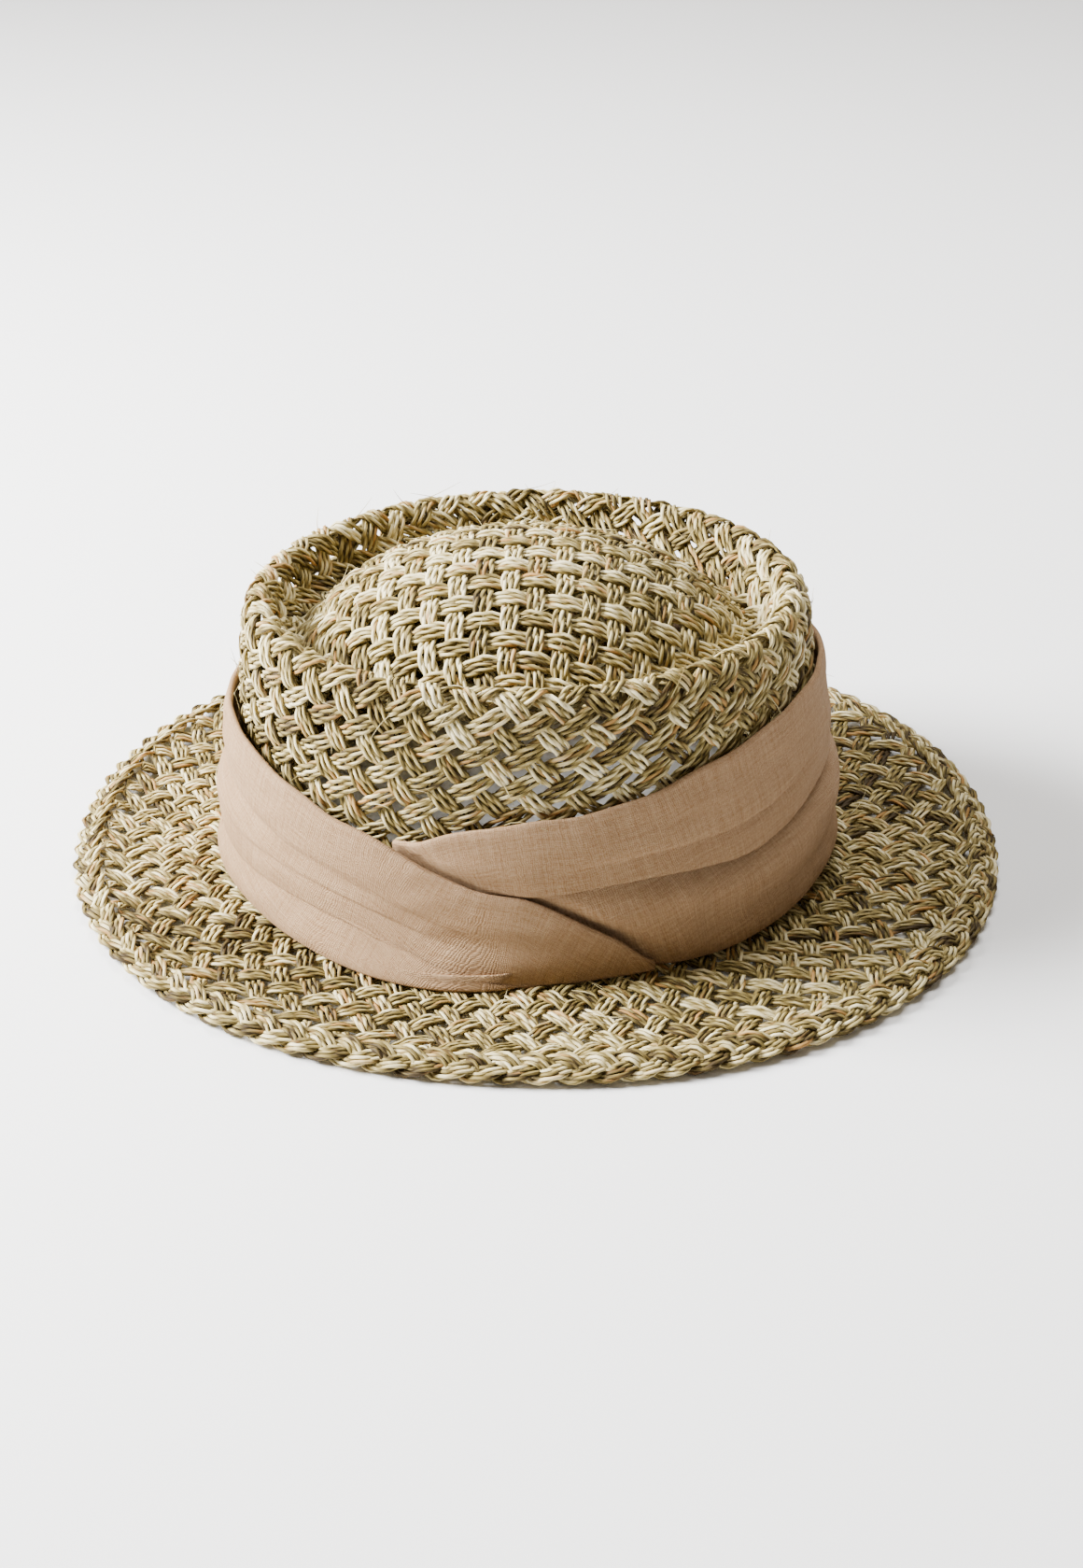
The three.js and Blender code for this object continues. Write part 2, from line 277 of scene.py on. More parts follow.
CROWN_SHIFT = -3.0
PLAIN_OVAL = 2.0
CROWN_ROWS = table(
    (102.5, 89.5, 12.3, 0),
    (101.8, 88.8, 32.0, 1),
    (100.8, 87.8, 55.0, 3),
    (99.9, 86.6, 76.0, 6),
    (98.9, 85.4, 88.5, 8),
    (98.0, 84.4, 95.2, 9),
    (95.9, 82.3, 100.3, 9),
    (92.5, 79.0, 102.3, 9),
    (89.3, 75.8, 100.2, 9),
    (86.9, 73.2, 95.0, 8),
    (84.0, 70.2, 88.8, 6),
    (79.2, 65.8, 85.6, 4),
    (73.6, 60.8, 89.4, 2),
    (65.5, 53.5, 97.4, 0),
    (54.0, 44.0, 104.6, 0),
    (38.0, 31.0, 111.0, 0),
    (19.0, 15.5, 115.6, 0),
    (0.0, 0.0, 117.0, 0),
)
CROWN_SIDE_TOP = 4
BRIM_ROWS = table(
    (102.5, 89.5, 12.0, 0, -3.0, 2.0),
    (102.8, 89.8, 7.6, 0, -3.0, 2.0),
    (104.6, 91.6, 3.4, 0, -3.0, 2.0),
    (109.5, 96.5, 2.3, 0, -3.0, 2.0),
    (130.0, 116.0, 2.1, 0, -1.0, 2.06),
    (148.0, 133.0, 2.6, 0, 0.0, 2.11),
    (156.7, 141.4, 4.8, 0, 0.0, 2.11),
)


def crown_surface() -> RowSurface:
    """The crown's middle surface."""
    shift = np.full((len(CROWN_ROWS), 1), CROWN_SHIFT)
    return RowSurface(np.hstack([CROWN_ROWS, shift, np.full_like(shift, PLAIN_OVAL)]))


# Meshes


def mesh_object(
    name: str, points: Array, quads: Array, material: bpy.types.Material
) -> bpy.types.Object:
    """Make a smooth mesh of quads at the origin.

    Args:
        name: the piece's name.
        points: its points in millimetres.
        quads: four point numbers for each face, counterclockwise from outside.
        material: its only material.

    Returns:
        The new piece, linked to the scene.
    """
    data = bpy.data.meshes.new(name)
    data.vertices.add(len(points))
    data.vertices.foreach_set("co", (points * MM).astype(np.float32).ravel())
    data.loops.add(quads.size)
    data.loops.foreach_set("vertex_index", quads.astype(np.int32).ravel())
    data.polygons.add(len(quads))
    data.polygons.foreach_set("loop_start", np.arange(0, quads.size, 4, dtype=np.int32))
    data.update(calc_edges=True)
    data.validate()
    data.polygons.foreach_set("use_smooth", np.ones(len(data.polygons), dtype=bool))
    data.materials.append(material)
    piece = bpy.data.objects.new(name, data)
    bpy.context.scene.collection.objects.link(piece)
    log.info("%s: %d triangles", name, len(data.loops) - 2 * len(data.polygons))
    return piece


def keep_values(piece: bpy.types.Object, name: str, values: Array) -> None:
    """Keep values on a piece's points for its material.

    Args:
        piece: the piece.
        name: the name the material reads them by.
        values: one number, or one row of three, for each point.
    """
    kind, field = ("FLOAT", "value") if values.ndim == 1 else ("FLOAT_VECTOR", "vector")
    made = piece.data.attributes.new(name, kind, "POINT")
    made.data.foreach_set(field, values.astype(np.float32).ravel())


def slab(outer: Array, inner: Array) -> tuple[Array, Array]:
    """Close two facing grids of points into one skin.

    Args:
        outer: grid whose two directions turn out of the slab.
        inner: the grid behind it.

    Returns:
        The points and the quads, with a wall round the grids' edges.
    """
    rows, columns = outer.shape[:2]
    index = np.arange(rows * columns).reshape(rows, columns)
    behind = index + rows * columns
    face = np.stack([index[:-1, :-1], index[1:, :-1], index[1:, 1:], index[:-1, 1:]], axis=-1)
    back = np.stack([behind[:-1, :-1], behind[:-1, 1:], behind[1:, 1:], behind[1:, :-1]], axis=-1)
    rim = np.concatenate([index[:, 0], index[-1, 1:], index[-2::-1, -1], index[0, -2:0:-1]])
    rim_behind = rim + rows * columns
    wall = np.stack([rim, rim_behind, np.roll(rim_behind, -1), np.roll(rim, -1)], axis=-1)
    points = np.concatenate([outer.reshape(-1, 3), inner.reshape(-1, 3)])
    return points, np.concatenate([face.reshape(-1, 4), back.reshape(-1, 4), wall])


@dataclass
class Tubes:
    """Many thin tubes in one mesh, with each point's place on its fibre and its tone.

    A tube has four sides, so that one quad closes each end. Shade is painted into the tone of
    points in the crevices between plies and cords, darker by up to painted_crevice_shade.
    """

    flatness: float = 0.76
    painted_crevice_shade: float = 0.58
    crevice_shade_reach: float = 0.7

    def __post_init__(self) -> None:
        """Start with no tubes."""
        self.points: list[Array] = []
        self.fibre: list[Array] = []
        self.tone: list[Array] = []
        self.quads: list[Array] = []
        self.count = 0

    def add(
        self,
        line: Array,
        along: Array,
        normal: Array,
        radius: Array,
        run: Array,
        tone: Array,
        rise: Array,
    ) -> None:
        """Sweep a flattened round section along lines.

        Args:
            line: points of the lines, lines by samples by 3.
            along: unit tangents of the same shape.
            normal: unit normals of the same shape, square to the tangents.
            radius: the tube's radius at each sample.
            run: length of the line up to each sample, in millimetres.
            tone: tone of the grass at each sample, 0 is dark and 1 is pale, before the painted
                shade.
            rise: height of the tube's middle over the cord's middle, in tube radii, for the painted
                shade.
        """
        lines, samples = line.shape[:2]
        side = np.cross(along, normal)
        turn = (np.arange(TUBE_SIDES) + 0.5) / TUBE_SIDES * TURN
        c, s = np.cos(turn)[None, None, :, None], np.sin(turn)[None, None, :, None]
        around = self.flatness * c * normal[:, :, None] + s * side[:, :, None]
        ring = line[:, :, None] + radius[..., None, None] * around
        shape = ring.shape[:3]
        place = [np.broadcast_to(v, shape) for v in (run[..., None], c[..., 0], s[..., 0])]
        self.points.append(ring.reshape(-1, 3))
        self.fibre.append(np.stack(place, axis=-1).reshape(-1, 3))
        # Painted shade: points that face into the crevice between plies and cords get a darker
        # tone.
        highest = self.crevice_shade_reach + np.abs(rise).max()
        outward = np.minimum(np.abs(rise[..., None] + c[..., 0]) / highest, 1)
        self.tone.append((tone[..., None] - self.painted_crevice_shade * (1 - outward)).reshape(-1))
        index = self.count + np.arange(lines * samples * TUBE_SIDES).reshape(shape)
        after = np.roll(index, -1, axis=2)
        body = np.stack([index[:, :-1], after[:, :-1], after[:, 1:], index[:, 1:]], axis=-1)
        self.quads += [body.reshape(-1, 4), index[:, 0, ::-1], index[:, -1]]
        self.count += index.size

    def build(self, name: str, material: bpy.types.Material) -> bpy.types.Object:
        """Make the mesh.

        Args:
            name: the piece's name.
            material: its only material.

        Returns:
            The new piece, in the scene.
        """
        points, quads = np.concatenate(self.points), np.concatenate(self.quads)
        piece = mesh_object(name, points, quads, material)
        keep_values(piece, "fibre", np.concatenate(self.fibre))
        # The kept tone has the painted crevice shade in it.
        keep_values(piece, "tone", np.concatenate(self.tone))
        return piece


@dataclass(frozen=True)
class Course:
    """Middle lines of bundles, lines by samples.

    The normal is the surface's. The lift is 1 where a bundle floats on top and -1 where it
    passes below.
    """

    line: Array
    normal: Array
    lift: Array


@dataclass(frozen=True)
class Bundle:
    """A flat bundle of cords side by side, each cord two plies of twisted grass.

    Each cord drifts from its place by drift, and its tone changes along it by fade. Each ply
    starts at its own place on a blade of grass, so that no two show the same pattern.
    """

    cords: int = 3
    spacing: float = 2.05
    ply_radius: float = 0.79
    ply_offset: float = 0.47
    lay: float = 12.5
    squeeze: float = 0.14
    size_spread: float = 0.06
    drift: float = 0.2
    drift_across: float = 70.0
    drift_up: float = 50.0
    fade: float = 0.16
    fade_reach: float = 120.0
    cord_tone: float = 0.11
    ply_tone: float = 0.12
    blade: float = 900.0

    def sweep(self, tubes: Tubes, rng: np.random.Generator, course: Course, tone: Array) -> None:
        """Sweep a bundle along each line.

        Args:
            tubes: the mesh the plies go into.
            rng: the seeded source of its drift.
            course: where the bundles run.
            tone: each bundle's own tone.
        """
        line = course.line
        lines, samples = line.shape[:2]
        along = unit(np.gradient(line, axis=1))
        normal = square_to(course.normal, along)
        side = np.cross(along, normal)
        run = running(gaps(line, 1))
        for k in range(self.cords):
            place = (k - (self.cords - 1) / 2) * self.spacing
            across = place * (1 + self.squeeze * course.lift)
            across = across + self.drift * wander(rng, lines, run, self.drift_across)
            height = self.drift * wander(rng, lines, run, self.drift_up)
            cord = line + across[..., None] * side + height[..., None] * normal
            shade = tone[:, None] + self.fade * wander(rng, lines, run, self.fade_reach)
            shade = shade + rng.normal(0, self.cord_tone, (lines, 1))
            twist = rng.uniform(0, TURN, (lines, 1)) + run * TURN / self.lay
            size = 1 + rng.normal(0, self.size_spread, (lines, 1))
            for ply in (0.0, math.pi):
                c, s = np.cos(twist + ply)[..., None], np.sin(twist + ply)[..., None]
                around = tubes.flatness * c * normal + s * side
                middle = cord + self.ply_offset * size[..., None] * around
                grade = shade + rng.normal(0, self.ply_tone, (lines, 1))
                radius = np.broadcast_to(self.ply_radius * size, (lines, samples))
                rise = c[..., 0] * self.ply_offset / self.ply_radius
                start = rng.uniform(0, self.blade, (lines, 1))
                tubes.add(middle, along, normal, radius, start + run, grade, rise)


# The crown's weave


@dataclass
class CrownLattice:
    """Crossings of the crown's weave.

    The tip is a square grid of columns and rows cut to a diamond. Past the diamond's edges the
    same bundles run down the side as two diagonal families, so a corner of the diamond leaves a
    three-sided hole. Crossings are numbered by their level, which grows from the middle.
    """

    surface: RowSurface
    half: int = 10
    levels: int = 31
    tip_pitch: float = 8.4
    diamond_side: float = 60.0
    diamond_corner: float = 25.0
    hem_reach: float = 6.0
    tip_pull: float = 1.3
    side_pull: float = 1.0
    pull_change: tuple[float, float] = (60.0, 110.0)
    slack: float = 0.85
    spacing: float = 9.0
    rounds: int = 900
    give: float = 0.3
    longest_move: float = 3.0

    def __post_init__(self) -> None:
        """Measure the crown from its pole, along its own surface and as a plain cap."""
        places, lengths = self.surface.lengths()
        rows = self.surface.row_at(places)
        size = rows[:, :2].mean(axis=1)
        drop = np.sqrt(np.maximum(np.diff(lengths) ** 2 - np.diff(size) ** 2, 0))
        depth = running(drop)
        self._distance = (lengths[-1] - lengths)[::-1]
        self._places = places[::-1]
        self._sizes = rows[::-1, :2]
        self._depth = (depth - depth[-1])[::-1]

    @staticmethod
    def polar(chart: Array) -> tuple[Array, Array]:
        """Distances from the chart's origin and angles round it."""
        return np.linalg.norm(chart, axis=-1), np.arctan2(chart[..., 1], chart[..., 0])

    def unfolded(self, chart: Array) -> Array:
        """Points of a plain cap that is as long and as wide as the crown, without its groove.

        Args:
            chart: points of the chart.

        Returns:
            Points of the cap, on which a straight line is nearly as long as the path over the
            crown's groove and rim.
        """
        far, angle = self.polar(chart)
        x = np.interp(far, self._distance, self._sizes[:, 0]) * np.cos(angle)
        y = np.interp(far, self._distance, self._sizes[:, 1]) * np.sin(angle)
        z = np.interp(far, self._distance, self._depth)
        return np.stack([x, y, z - np.maximum(far - self._distance[-1], 0)], axis=-1)

    def points(self, chart: Array) -> Array:
        """Points over the flat chart.

        Args:
            chart: points of a plane, whose distance from its origin is the distance from the
                pole along the crown, and whose direction is the angle round it.

        Returns:
            Points of the crown. Past the hem they go straight down.
        """
        far, angle = self.polar(chart)
        found = self.surface.points(np.interp(far, self._distance, self._places), angle)
        found[..., 2] -= np.maximum(far - self._distance[-1], 0)
        return found

    @staticmethod
    def frames(
        over: Callable[[Array], Array], chart: Array, step: float = 0.2
    ) -> tuple[Array, Array, Array]:
        """Points and the two directions of the chart's axes.

        Args:
            over: gives a surface's points over the chart.
            chart: points of the chart.
            step: half the distance the directions are measured over.

        Returns:
            The points, and their change along each axis of the chart.
        """
        ex, ey = np.array([step, 0.0]), np.array([0.0, step])
        dx = (over(chart + ex) - over(chart - ex)) / (2 * step)
        dy = (over(chart + ey) - over(chart - ey)) / (2 * step)
        return over(chart), dx, dy

    def side_start(self, u: int, level: int) -> tuple[float, float]:
        """First guess for a crossing on the side.

        Args:
            u: steps round the side, eight times half a diamond all round.
            level: level of the crossing.

        Returns:
            A chart point on rings that start as the diamond and end as the hem.
        """
        corner = 1 - abs(u % (2 * self.half) - self.half) / self.half
        share = (level - self.half) / (self.levels - self.half)
        hem = self._distance[-1] + self.hem_reach
        far = (self.diamond_side + self.diamond_corner * corner) * (1 - share) + hem * share
        angle = u / (8 * self.half) * TURN - 3 / 8 * TURN
        return far * math.cos(angle), far * math.sin(angle)

    def layout(self) -> tuple[Array, list[list[int]], list[list[int]]]:
        """Number the crossings and string the bundles through them.

        Returns:
            Chart points, then for each bundle its crossings and its lifts. A lift is -1 where
            the bundle passes below at that crossing and 1 where it passes above.
        """
        d = self.half
        number: dict[tuple[str, int, int], int] = {}
        chart: list[tuple[float, float]] = []

        def crossing(key: tuple[str, int, int], place: tuple[float, float]) -> int:
            """Number a crossing the first time it is met.

            Args:
                key: which crossing it is.
                place: its chart point.

            Returns:
                Its number.
            """
            if key not in number:
                number[key] = len(chart)
                chart.append(place)
            return number[key]

        def tip(i: int, j: int) -> int:
            """The number of a crossing in the square grid."""
            return crossing(("tip", i, j), ((i + 0.5) * self.tip_pitch, (j + 0.5) * self.tip_pitch))

        def side(u: int, level: int) -> int:
            """The number of a crossing on the side."""
            return crossing(("side", u, level), self.side_start(u, level))

        def down(start: int, turn: Family) -> list[tuple[int, int]]:
            """Follow a bundle down the side.

            Args:
                start: where it would start at level 0, in steps round the side.
                turn: the family it belongs to there.

            Returns:
                Its crossings and lifts from the diamond to the hem.
            """
            over = 1 if turn is Family.DOWN_RIGHT else 0
            levels = range(d + 1, self.levels + 1)
            steps = [(start + turn.value * level) % (8 * d) for level in levels]
            lifts = [1 if level % 2 == over else -1 for level in levels]
            return [(side(u, level), lift) for u, level, lift in zip(steps, levels, lifts)]

        bundles: list[list[tuple[int, int]]] = []
        for n in range(-d, d):
            x2 = 2 * n + 1
            reach = d - (abs(x2) + 1) // 2
            across = range(-reach - 1, reach + 1)
            column = [(tip(n, j), 1 if (n + j) % 2 == 0 else -1) for j in across]
            row = [(tip(j, n), -1 if (n + j) % 2 == 0 else 1) for j in across]
            if x2 < 0:
                front, back = down(x2, Family.DOWN_RIGHT), down(6 * d - x2, Family.UP_RIGHT)
                right, left = down(2 * d + x2, Family.DOWN_RIGHT), down(-x2, Family.UP_RIGHT)
            else:
                front, back = down(2 * d + x2, Family.UP_RIGHT), down(4 * d - x2, Family.DOWN_RIGHT)
                right, left = down(4 * d + x2, Family.UP_RIGHT), down(6 * d - x2, Family.DOWN_RIGHT)
            bundles.append(front[::-1] + column + back)
            bundles.append(left[::-1] + row + right)
        crossings = [[met for met, _ in bundle] for bundle in bundles]
        lifts = [[lift for _, lift in bundle] for bundle in bundles]
        return np.array(chart), crossings, lifts

    def relax(self, chart: Array, crossings: list[list[int]]) -> Array:
        """Let the weave settle on the crown.

        Args:
            chart: first guess for the crossings.
            crossings: the crossings of each bundle, in order.

        Returns:
            Chart points after springs between neighbours have pulled them along the surface.
            Every spring is stretched, the hem is held, and the tip's springs are the stiffest.
        """
        springs = [np.stack([b[:-1], b[1:]], axis=1) for b in map(np.array, crossings)]
        first, second = np.concatenate(springs).T
        free = np.ones(len(chart), dtype=bool)
        free[[bundle[end] for bundle in crossings for end in (0, -1)]] = False
        for _ in range(self.rounds):
            points, dx, dy = self.frames(self.unfolded, chart)
            far = np.linalg.norm(chart, axis=1)
            stiff = np.interp(far, self.pull_change, [self.tip_pull, self.side_pull])
            apart = points[second] - points[first]
            length = np.linalg.norm(apart, axis=1)
            weight = (stiff[first] + stiff[second]) / 2
            pull = (weight * (length - self.slack * self.spacing) / length)[:, None] * apart
            pulls = [
                np.bincount(first, part, len(chart)) - np.bincount(second, part, len(chart))
                for part in pull.T
            ]
            force = np.stack(pulls, axis=1)
            a, b, c = (dx * dx).sum(1), (dx * dy).sum(1), (dy * dy).sum(1)
            fx, fy = (dx * force).sum(1), (dy * force).sum(1)
            det = np.maximum(a * c - b * b, 1e-6)
            move = np.stack([c * fx - b * fy, a * fy - b * fx], axis=1) / det[:, None]
            held = np.clip(move, -self.longest_move, self.longest_move) * free[:, None]
            chart = chart + self.give * held / stiff[:, None]
        return chart


@dataclass
class CrownWeave:
    """The crown's open weave, down to its hem under the scarf."""

    bundle: Bundle
    lattice: CrownLattice
    lift: float = 0.85
    unevenness: float = 0.28
    step_samples: int = 5
    hem: float = 9.0
    parts: int = 3
    tone: float = 0.68
    tone_spread: float = 0.1

    def __post_init__(self) -> None:
        """Lay the bundles, which the stray fibres need too."""
        self.laid = self.lay()

    def lay(self) -> list[Course]:
        """Lay every bundle over the crown.

        Returns:
            One course for each bundle. It goes through its crossings on a smooth curve and
            stands off the surface by a flattened cosine from one crossing to the next.
        """
        chart, crossings, lifts = self.lattice.layout()
        chart = self.lattice.relax(chart, crossings)
        chart = chart + Seed.CROSSINGS.draws().normal(0, self.unevenness, chart.shape)
        found = []
        for bundle, signs in zip(crossings, lifts):
            last = len(bundle) - 1
            place = np.linspace(0, last, last * self.step_samples + 1)
            flat = smooth_rows(chart[bundle], place)
            swing = signs[0] * flat_wave(place)
            points, dx, dy = self.lattice.frames(self.lattice.points, flat)
            normal = unit(np.cross(dx, dy))
            line = points + (self.lift * swing)[:, None] * normal
            above = np.flatnonzero(points[:, 2] > self.hem)
            keep = slice(above[0], above[-1] + 1)
            found.append(Course(line[None, keep], normal[None, keep], swing[None, keep]))
        return found

    def build(self, material: bpy.types.Material) -> list[bpy.types.Object]:
        """Make the weave's meshes.

        Args:
            material: the grass.

        Returns:
            The pieces, with the bundles shared out evenly among them. The pieces, each
            under the limit of triangles.
        """
        rng = Seed.CROWN.draws()
        groups = [Tubes() for _ in range(self.parts)]
        for n, course in enumerate(self.laid):
            tone = np.array([rng.normal(self.tone, self.tone_spread)])
            self.bundle.sweep(groups[n * self.parts // len(self.laid)], rng, course, tone)
        return [group.build(f"crown_weave_{k + 1}", material) for k, group in enumerate(groups)]


# The brim


@dataclass
class BrimWeave:
    """The brim's open weave: two families of bundles that spiral out from the crown.

    The family that runs down to the right is painted paler at the front and at the back, and
    darker at the sides, by painted_light_lean: painted light and shade for how the lamp falls.
    """

    bundle: Bundle
    surface: RowSurface
    strands: int = 66
    ring_step: float = 6.3
    reach: float = 66.0
    lift: float = 0.8
    step_samples: int = 4
    sway_round: tuple[float, float] = (0.0014, 0.0009)
    sway_round_lag: float = 0.15
    sway_out: float = 0.12
    sway_out_lag: float = 0.9
    tone: float = 0.66
    tone_spread: float = 0.1
    painted_light_lean: float = 0.11

    def __post_init__(self) -> None:
        """Measure the brim out and round, and lay both families."""
        self._places, self._lengths = self.surface.lengths()
        self._angles = np.linspace(-TURN / 4, TURN * 3 / 4, ROUND_STEPS + 1)
        self._shares = self.surface.shares(self.surface.last - 1, self._angles)
        self.laid = [self.lay(family) for family in Family]

    def lay(self, family: Family) -> Course:
        """Lay one family over the brim.

        Args:
            family: the way its bundles lean.

        Returns:
            The family's course. A strand moves half a space round for each ring, so the two
            families meet at every ring. Sines that go round 3 and 11 times sway the strands a
            little, and one that goes round 5 times sways the rings.
        """
        rings = self.reach / self.ring_step
        m = np.linspace(0, rings, int(rings * self.step_samples) + 1)[None, :]
        k = np.arange(self.strands)[:, None]
        share = (k + family.value * m / 2) / self.strands
        wide, narrow = self.sway_round
        wide_sway = wide * np.sin(TURN * 3 * share + self.sway_round_lag * m)
        share = share + wide_sway + narrow * np.sin(TURN * 11 * share)
        ring_sway = self.sway_out * np.sin(TURN * 5 * share + self.sway_out_lag * m)
        far = self.ring_step * (m + ring_sway)
        point, normal = self.place(share, far)
        swing = family.value * flat_wave(m) * np.ones_like(share)
        return Course(point + (self.lift * swing)[..., None] * normal, normal, swing)

    def point(self, share: Array, far: Array) -> Array:
        """Points at shares of the way round and distances out."""
        angle = np.interp(np.mod(share, 1), self._shares, self._angles)
        return self.surface.points(np.interp(far, self._lengths, self._places), angle)

    def place(
        self, share: Array, far: Array, step_round: float = 1e-4, step_out: float = 0.2
    ) -> tuple[Array, Array]:
        """Points and normals at a share of the way round and a distance out.

        Args:
            share: part of the way round, 0 at the front.
            far: distance from the collar's top, along the brim.
            step_round: share over which the direction round is measured to each side.
            step_out: distance over which the direction out is measured to each side.

        Returns:
            Points spread evenly round each oval, and the upward normals there.
        """
        across = self.point(share + step_round, far) - self.point(share - step_round, far)
        out = self.point(share, far + step_out) - self.point(share, far - step_out)
        return self.point(share, far), unit(np.cross(out, across))

    def build(self, material: bpy.types.Material) -> list[bpy.types.Object]:
        """Make one mesh for each family.

        Args:
            material: the grass.

        Returns:
            The pieces.
        """
        rng = Seed.BRIM.draws()
        pieces = []
        for family, course in zip(Family, self.laid):
            tubes = Tubes()
            # Painted light and shade: each family's tone leans paler or darker round the brim, as
            # the light falls.
            lean = family.value * np.cos(2 * TURN * np.arange(self.strands) / self.strands)
            tone = rng.normal(self.tone + self.painted_light_lean * lean, self.tone_spread)
            self.bundle.sweep(tubes, rng, course, tone)
            pieces.append(tubes.build(f"brim_weave_{family.name.lower()}", material))
        return pieces


@dataclass
class EdgePlait:
    """Flat three-strand plait that binds the brim's edge, its outer side turned down."""

    bundle: Bundle
    half_length: float = 162.5
    half_width: float = 147.0
    height: float = 4.2
    squareness: float = 2.11
    tilt: float = 20.0
    strands: int = 3
    periods: int = 32
    swing: float = 3.3
    side_flat: float = 0.05
    rise: float = 1.15
    samples: int = 540
    tone: float = 0.66
    tone_spread: float = 0.06

    def middle(self, step: float = 0.01) -> tuple[Array, Array]:
        """Walk evenly round the edge.

        Args:
            step: angle over which the direction is measured to each side.

        Returns:
            Points of the plait's middle line and the unit directions there.
        """
        row = (self.half_length, self.half_width, self.height, 0, 0, self.squareness)
        ring = RowSurface(table(row, row))
        angles = np.linspace(0, TURN, 2 * ROUND_STEPS + 1)
        angle = np.interp(np.linspace(0, 1, self.samples), ring.shares(0, angles), angles)
        forward = ring.points(0, angle + step) - ring.points(0, angle - step)
        return ring.points(0, angle), unit(forward)

    def build(self, material: bpy.types.Material) -> bpy.types.Object:
        """Make the plait.

        Args:
            material: the grass.

        Returns:
            The piece. Each strand swings from side to side as a sine and rises twice as often,
            a third of a period after the one before it.
        """
        rng = Seed.PLAIT.draws()
        middle, forward = self.middle()
        upright = np.zeros_like(middle) + np.array([0.0, 0.0, 1.0])
        outward = np.cross(forward, upright)
        c, s = math.cos(math.radians(self.tilt)), math.sin(math.radians(self.tilt))
        out, up = c * outward - s * upright, c * upright + s * outward
        level = np.zeros((1, self.samples))
        tubes = Tubes()
        for k in range(self.strands):
            phase = TURN * (self.periods * np.linspace(0, 1, self.samples) + k / self.strands)
            swing = self.swing * (np.sin(phase) + self.side_flat * np.sin(3 * phase))
            rise = -self.rise * np.sin(2 * phase)
            strand = middle + swing[:, None] * out + rise[:, None] * up
            tone = np.array([rng.normal(self.tone, self.tone_spread)])
            self.bundle.sweep(tubes, rng, Course(strand[None], up[None], level), tone)
        return tubes.build("edge_plait_weave", material)


@dataclass(frozen=True)
class StrayFibres:
    """Frayed ends of grass that stand off the weave here and there.

    They start on the flat of the brim, below brim_top, or on the open crown, above crown_low.
    """

    count: int = 400
    length: tuple[float, float] = (5.0, 14.0)
    thickness: float = 0.2
    taper: float = 0.75
    samples: int = 6
    bend_out: tuple[float, float] = (0.04, 0.3)
    bend_aside: tuple[float, float] = (-0.6, 0.6)
    start_height: float = 0.9
    brim_top: float = 3.1
    crown_low: float = 34.0
    lowest: float = 0.6
    ends_left: int = 2
    tone: float = 0.7
    tone_spread: float = 0.15
    blade: float = 900.0

    def starts(self, courses: list[Course]) -> tuple[Array, Array, Array]:
        """Where a fibre may leave its bundle.

        Args:
            courses: the weave's bundles.

        Returns:
            Points, directions and surface normals, away from the ends of the bundles.
        """
        inside = slice(self.ends_left, -self.ends_left)
        points = np.concatenate([c.line[:, inside].reshape(-1, 3) for c in courses])
        ways = [unit(np.gradient(c.line, axis=1))[:, inside].reshape(-1, 3) for c in courses]
        normals = np.concatenate([c.normal[:, inside].reshape(-1, 3) for c in courses])
        return points, np.concatenate(ways), normals

    def build(self, courses: list[Course], material: bpy.types.Material) -> bpy.types.Object:
        """Make the fibres.

        Args:
            courses: the weave's bundles.
            material: the grass.

        Returns:
            The piece. Each fibre leaves its bundle along it, then bends away from it as the
            square of the distance, out of the surface and to one side.
        """
        rng = Seed.STRAYS.draws()
        each = (self.count, 1, 1)
        points, ways, normals = self.starts(courses)
        bare = np.flatnonzero((points[:, 2] < self.brim_top) | (points[:, 2] > self.crown_low))
        chosen = bare[rng.integers(0, len(bare), self.count)]
        start, forward, normal = points[chosen, None], ways[chosen, None], normals[chosen, None]
        forward = forward * rng.choice([-1.0, 1.0], each)
        forward = forward - np.minimum((forward * normal).sum(-1, keepdims=True), 0) * normal
        side = np.cross(forward, normal)
        length = rng.uniform(*self.length, each)
        u = np.linspace(0, 1, self.samples)[None, :, None]
        out = rng.uniform(*self.bend_out, each)
        aside = rng.uniform(*self.bend_aside, each)
        bend = length * u**2
        line = start + length * u * forward
        line = line + (self.start_height + out * bend) * normal + aside * bend * side
        line[..., 2] = np.maximum(line[..., 2], self.lowest)
        along = unit(np.gradient(line, axis=1))
        radius = self.thickness * (1 - self.taper * u[..., 0]) * np.ones((self.count, 1))
        tone = rng.normal(self.tone, self.tone_spread, (self.count, 1))
        tone = np.broadcast_to(tone, radius.shape)
        run = rng.uniform(0, self.blade, (self.count, 1)) + (length * u)[..., 0]
        tubes = Tubes(flatness=1.0, painted_crevice_shade=0.0)
        tubes.add(line, along, square_to(normal, along), radius, run, tone, np.zeros_like(radius))
        return tubes.build("stray_fibres", material)


# Finishes


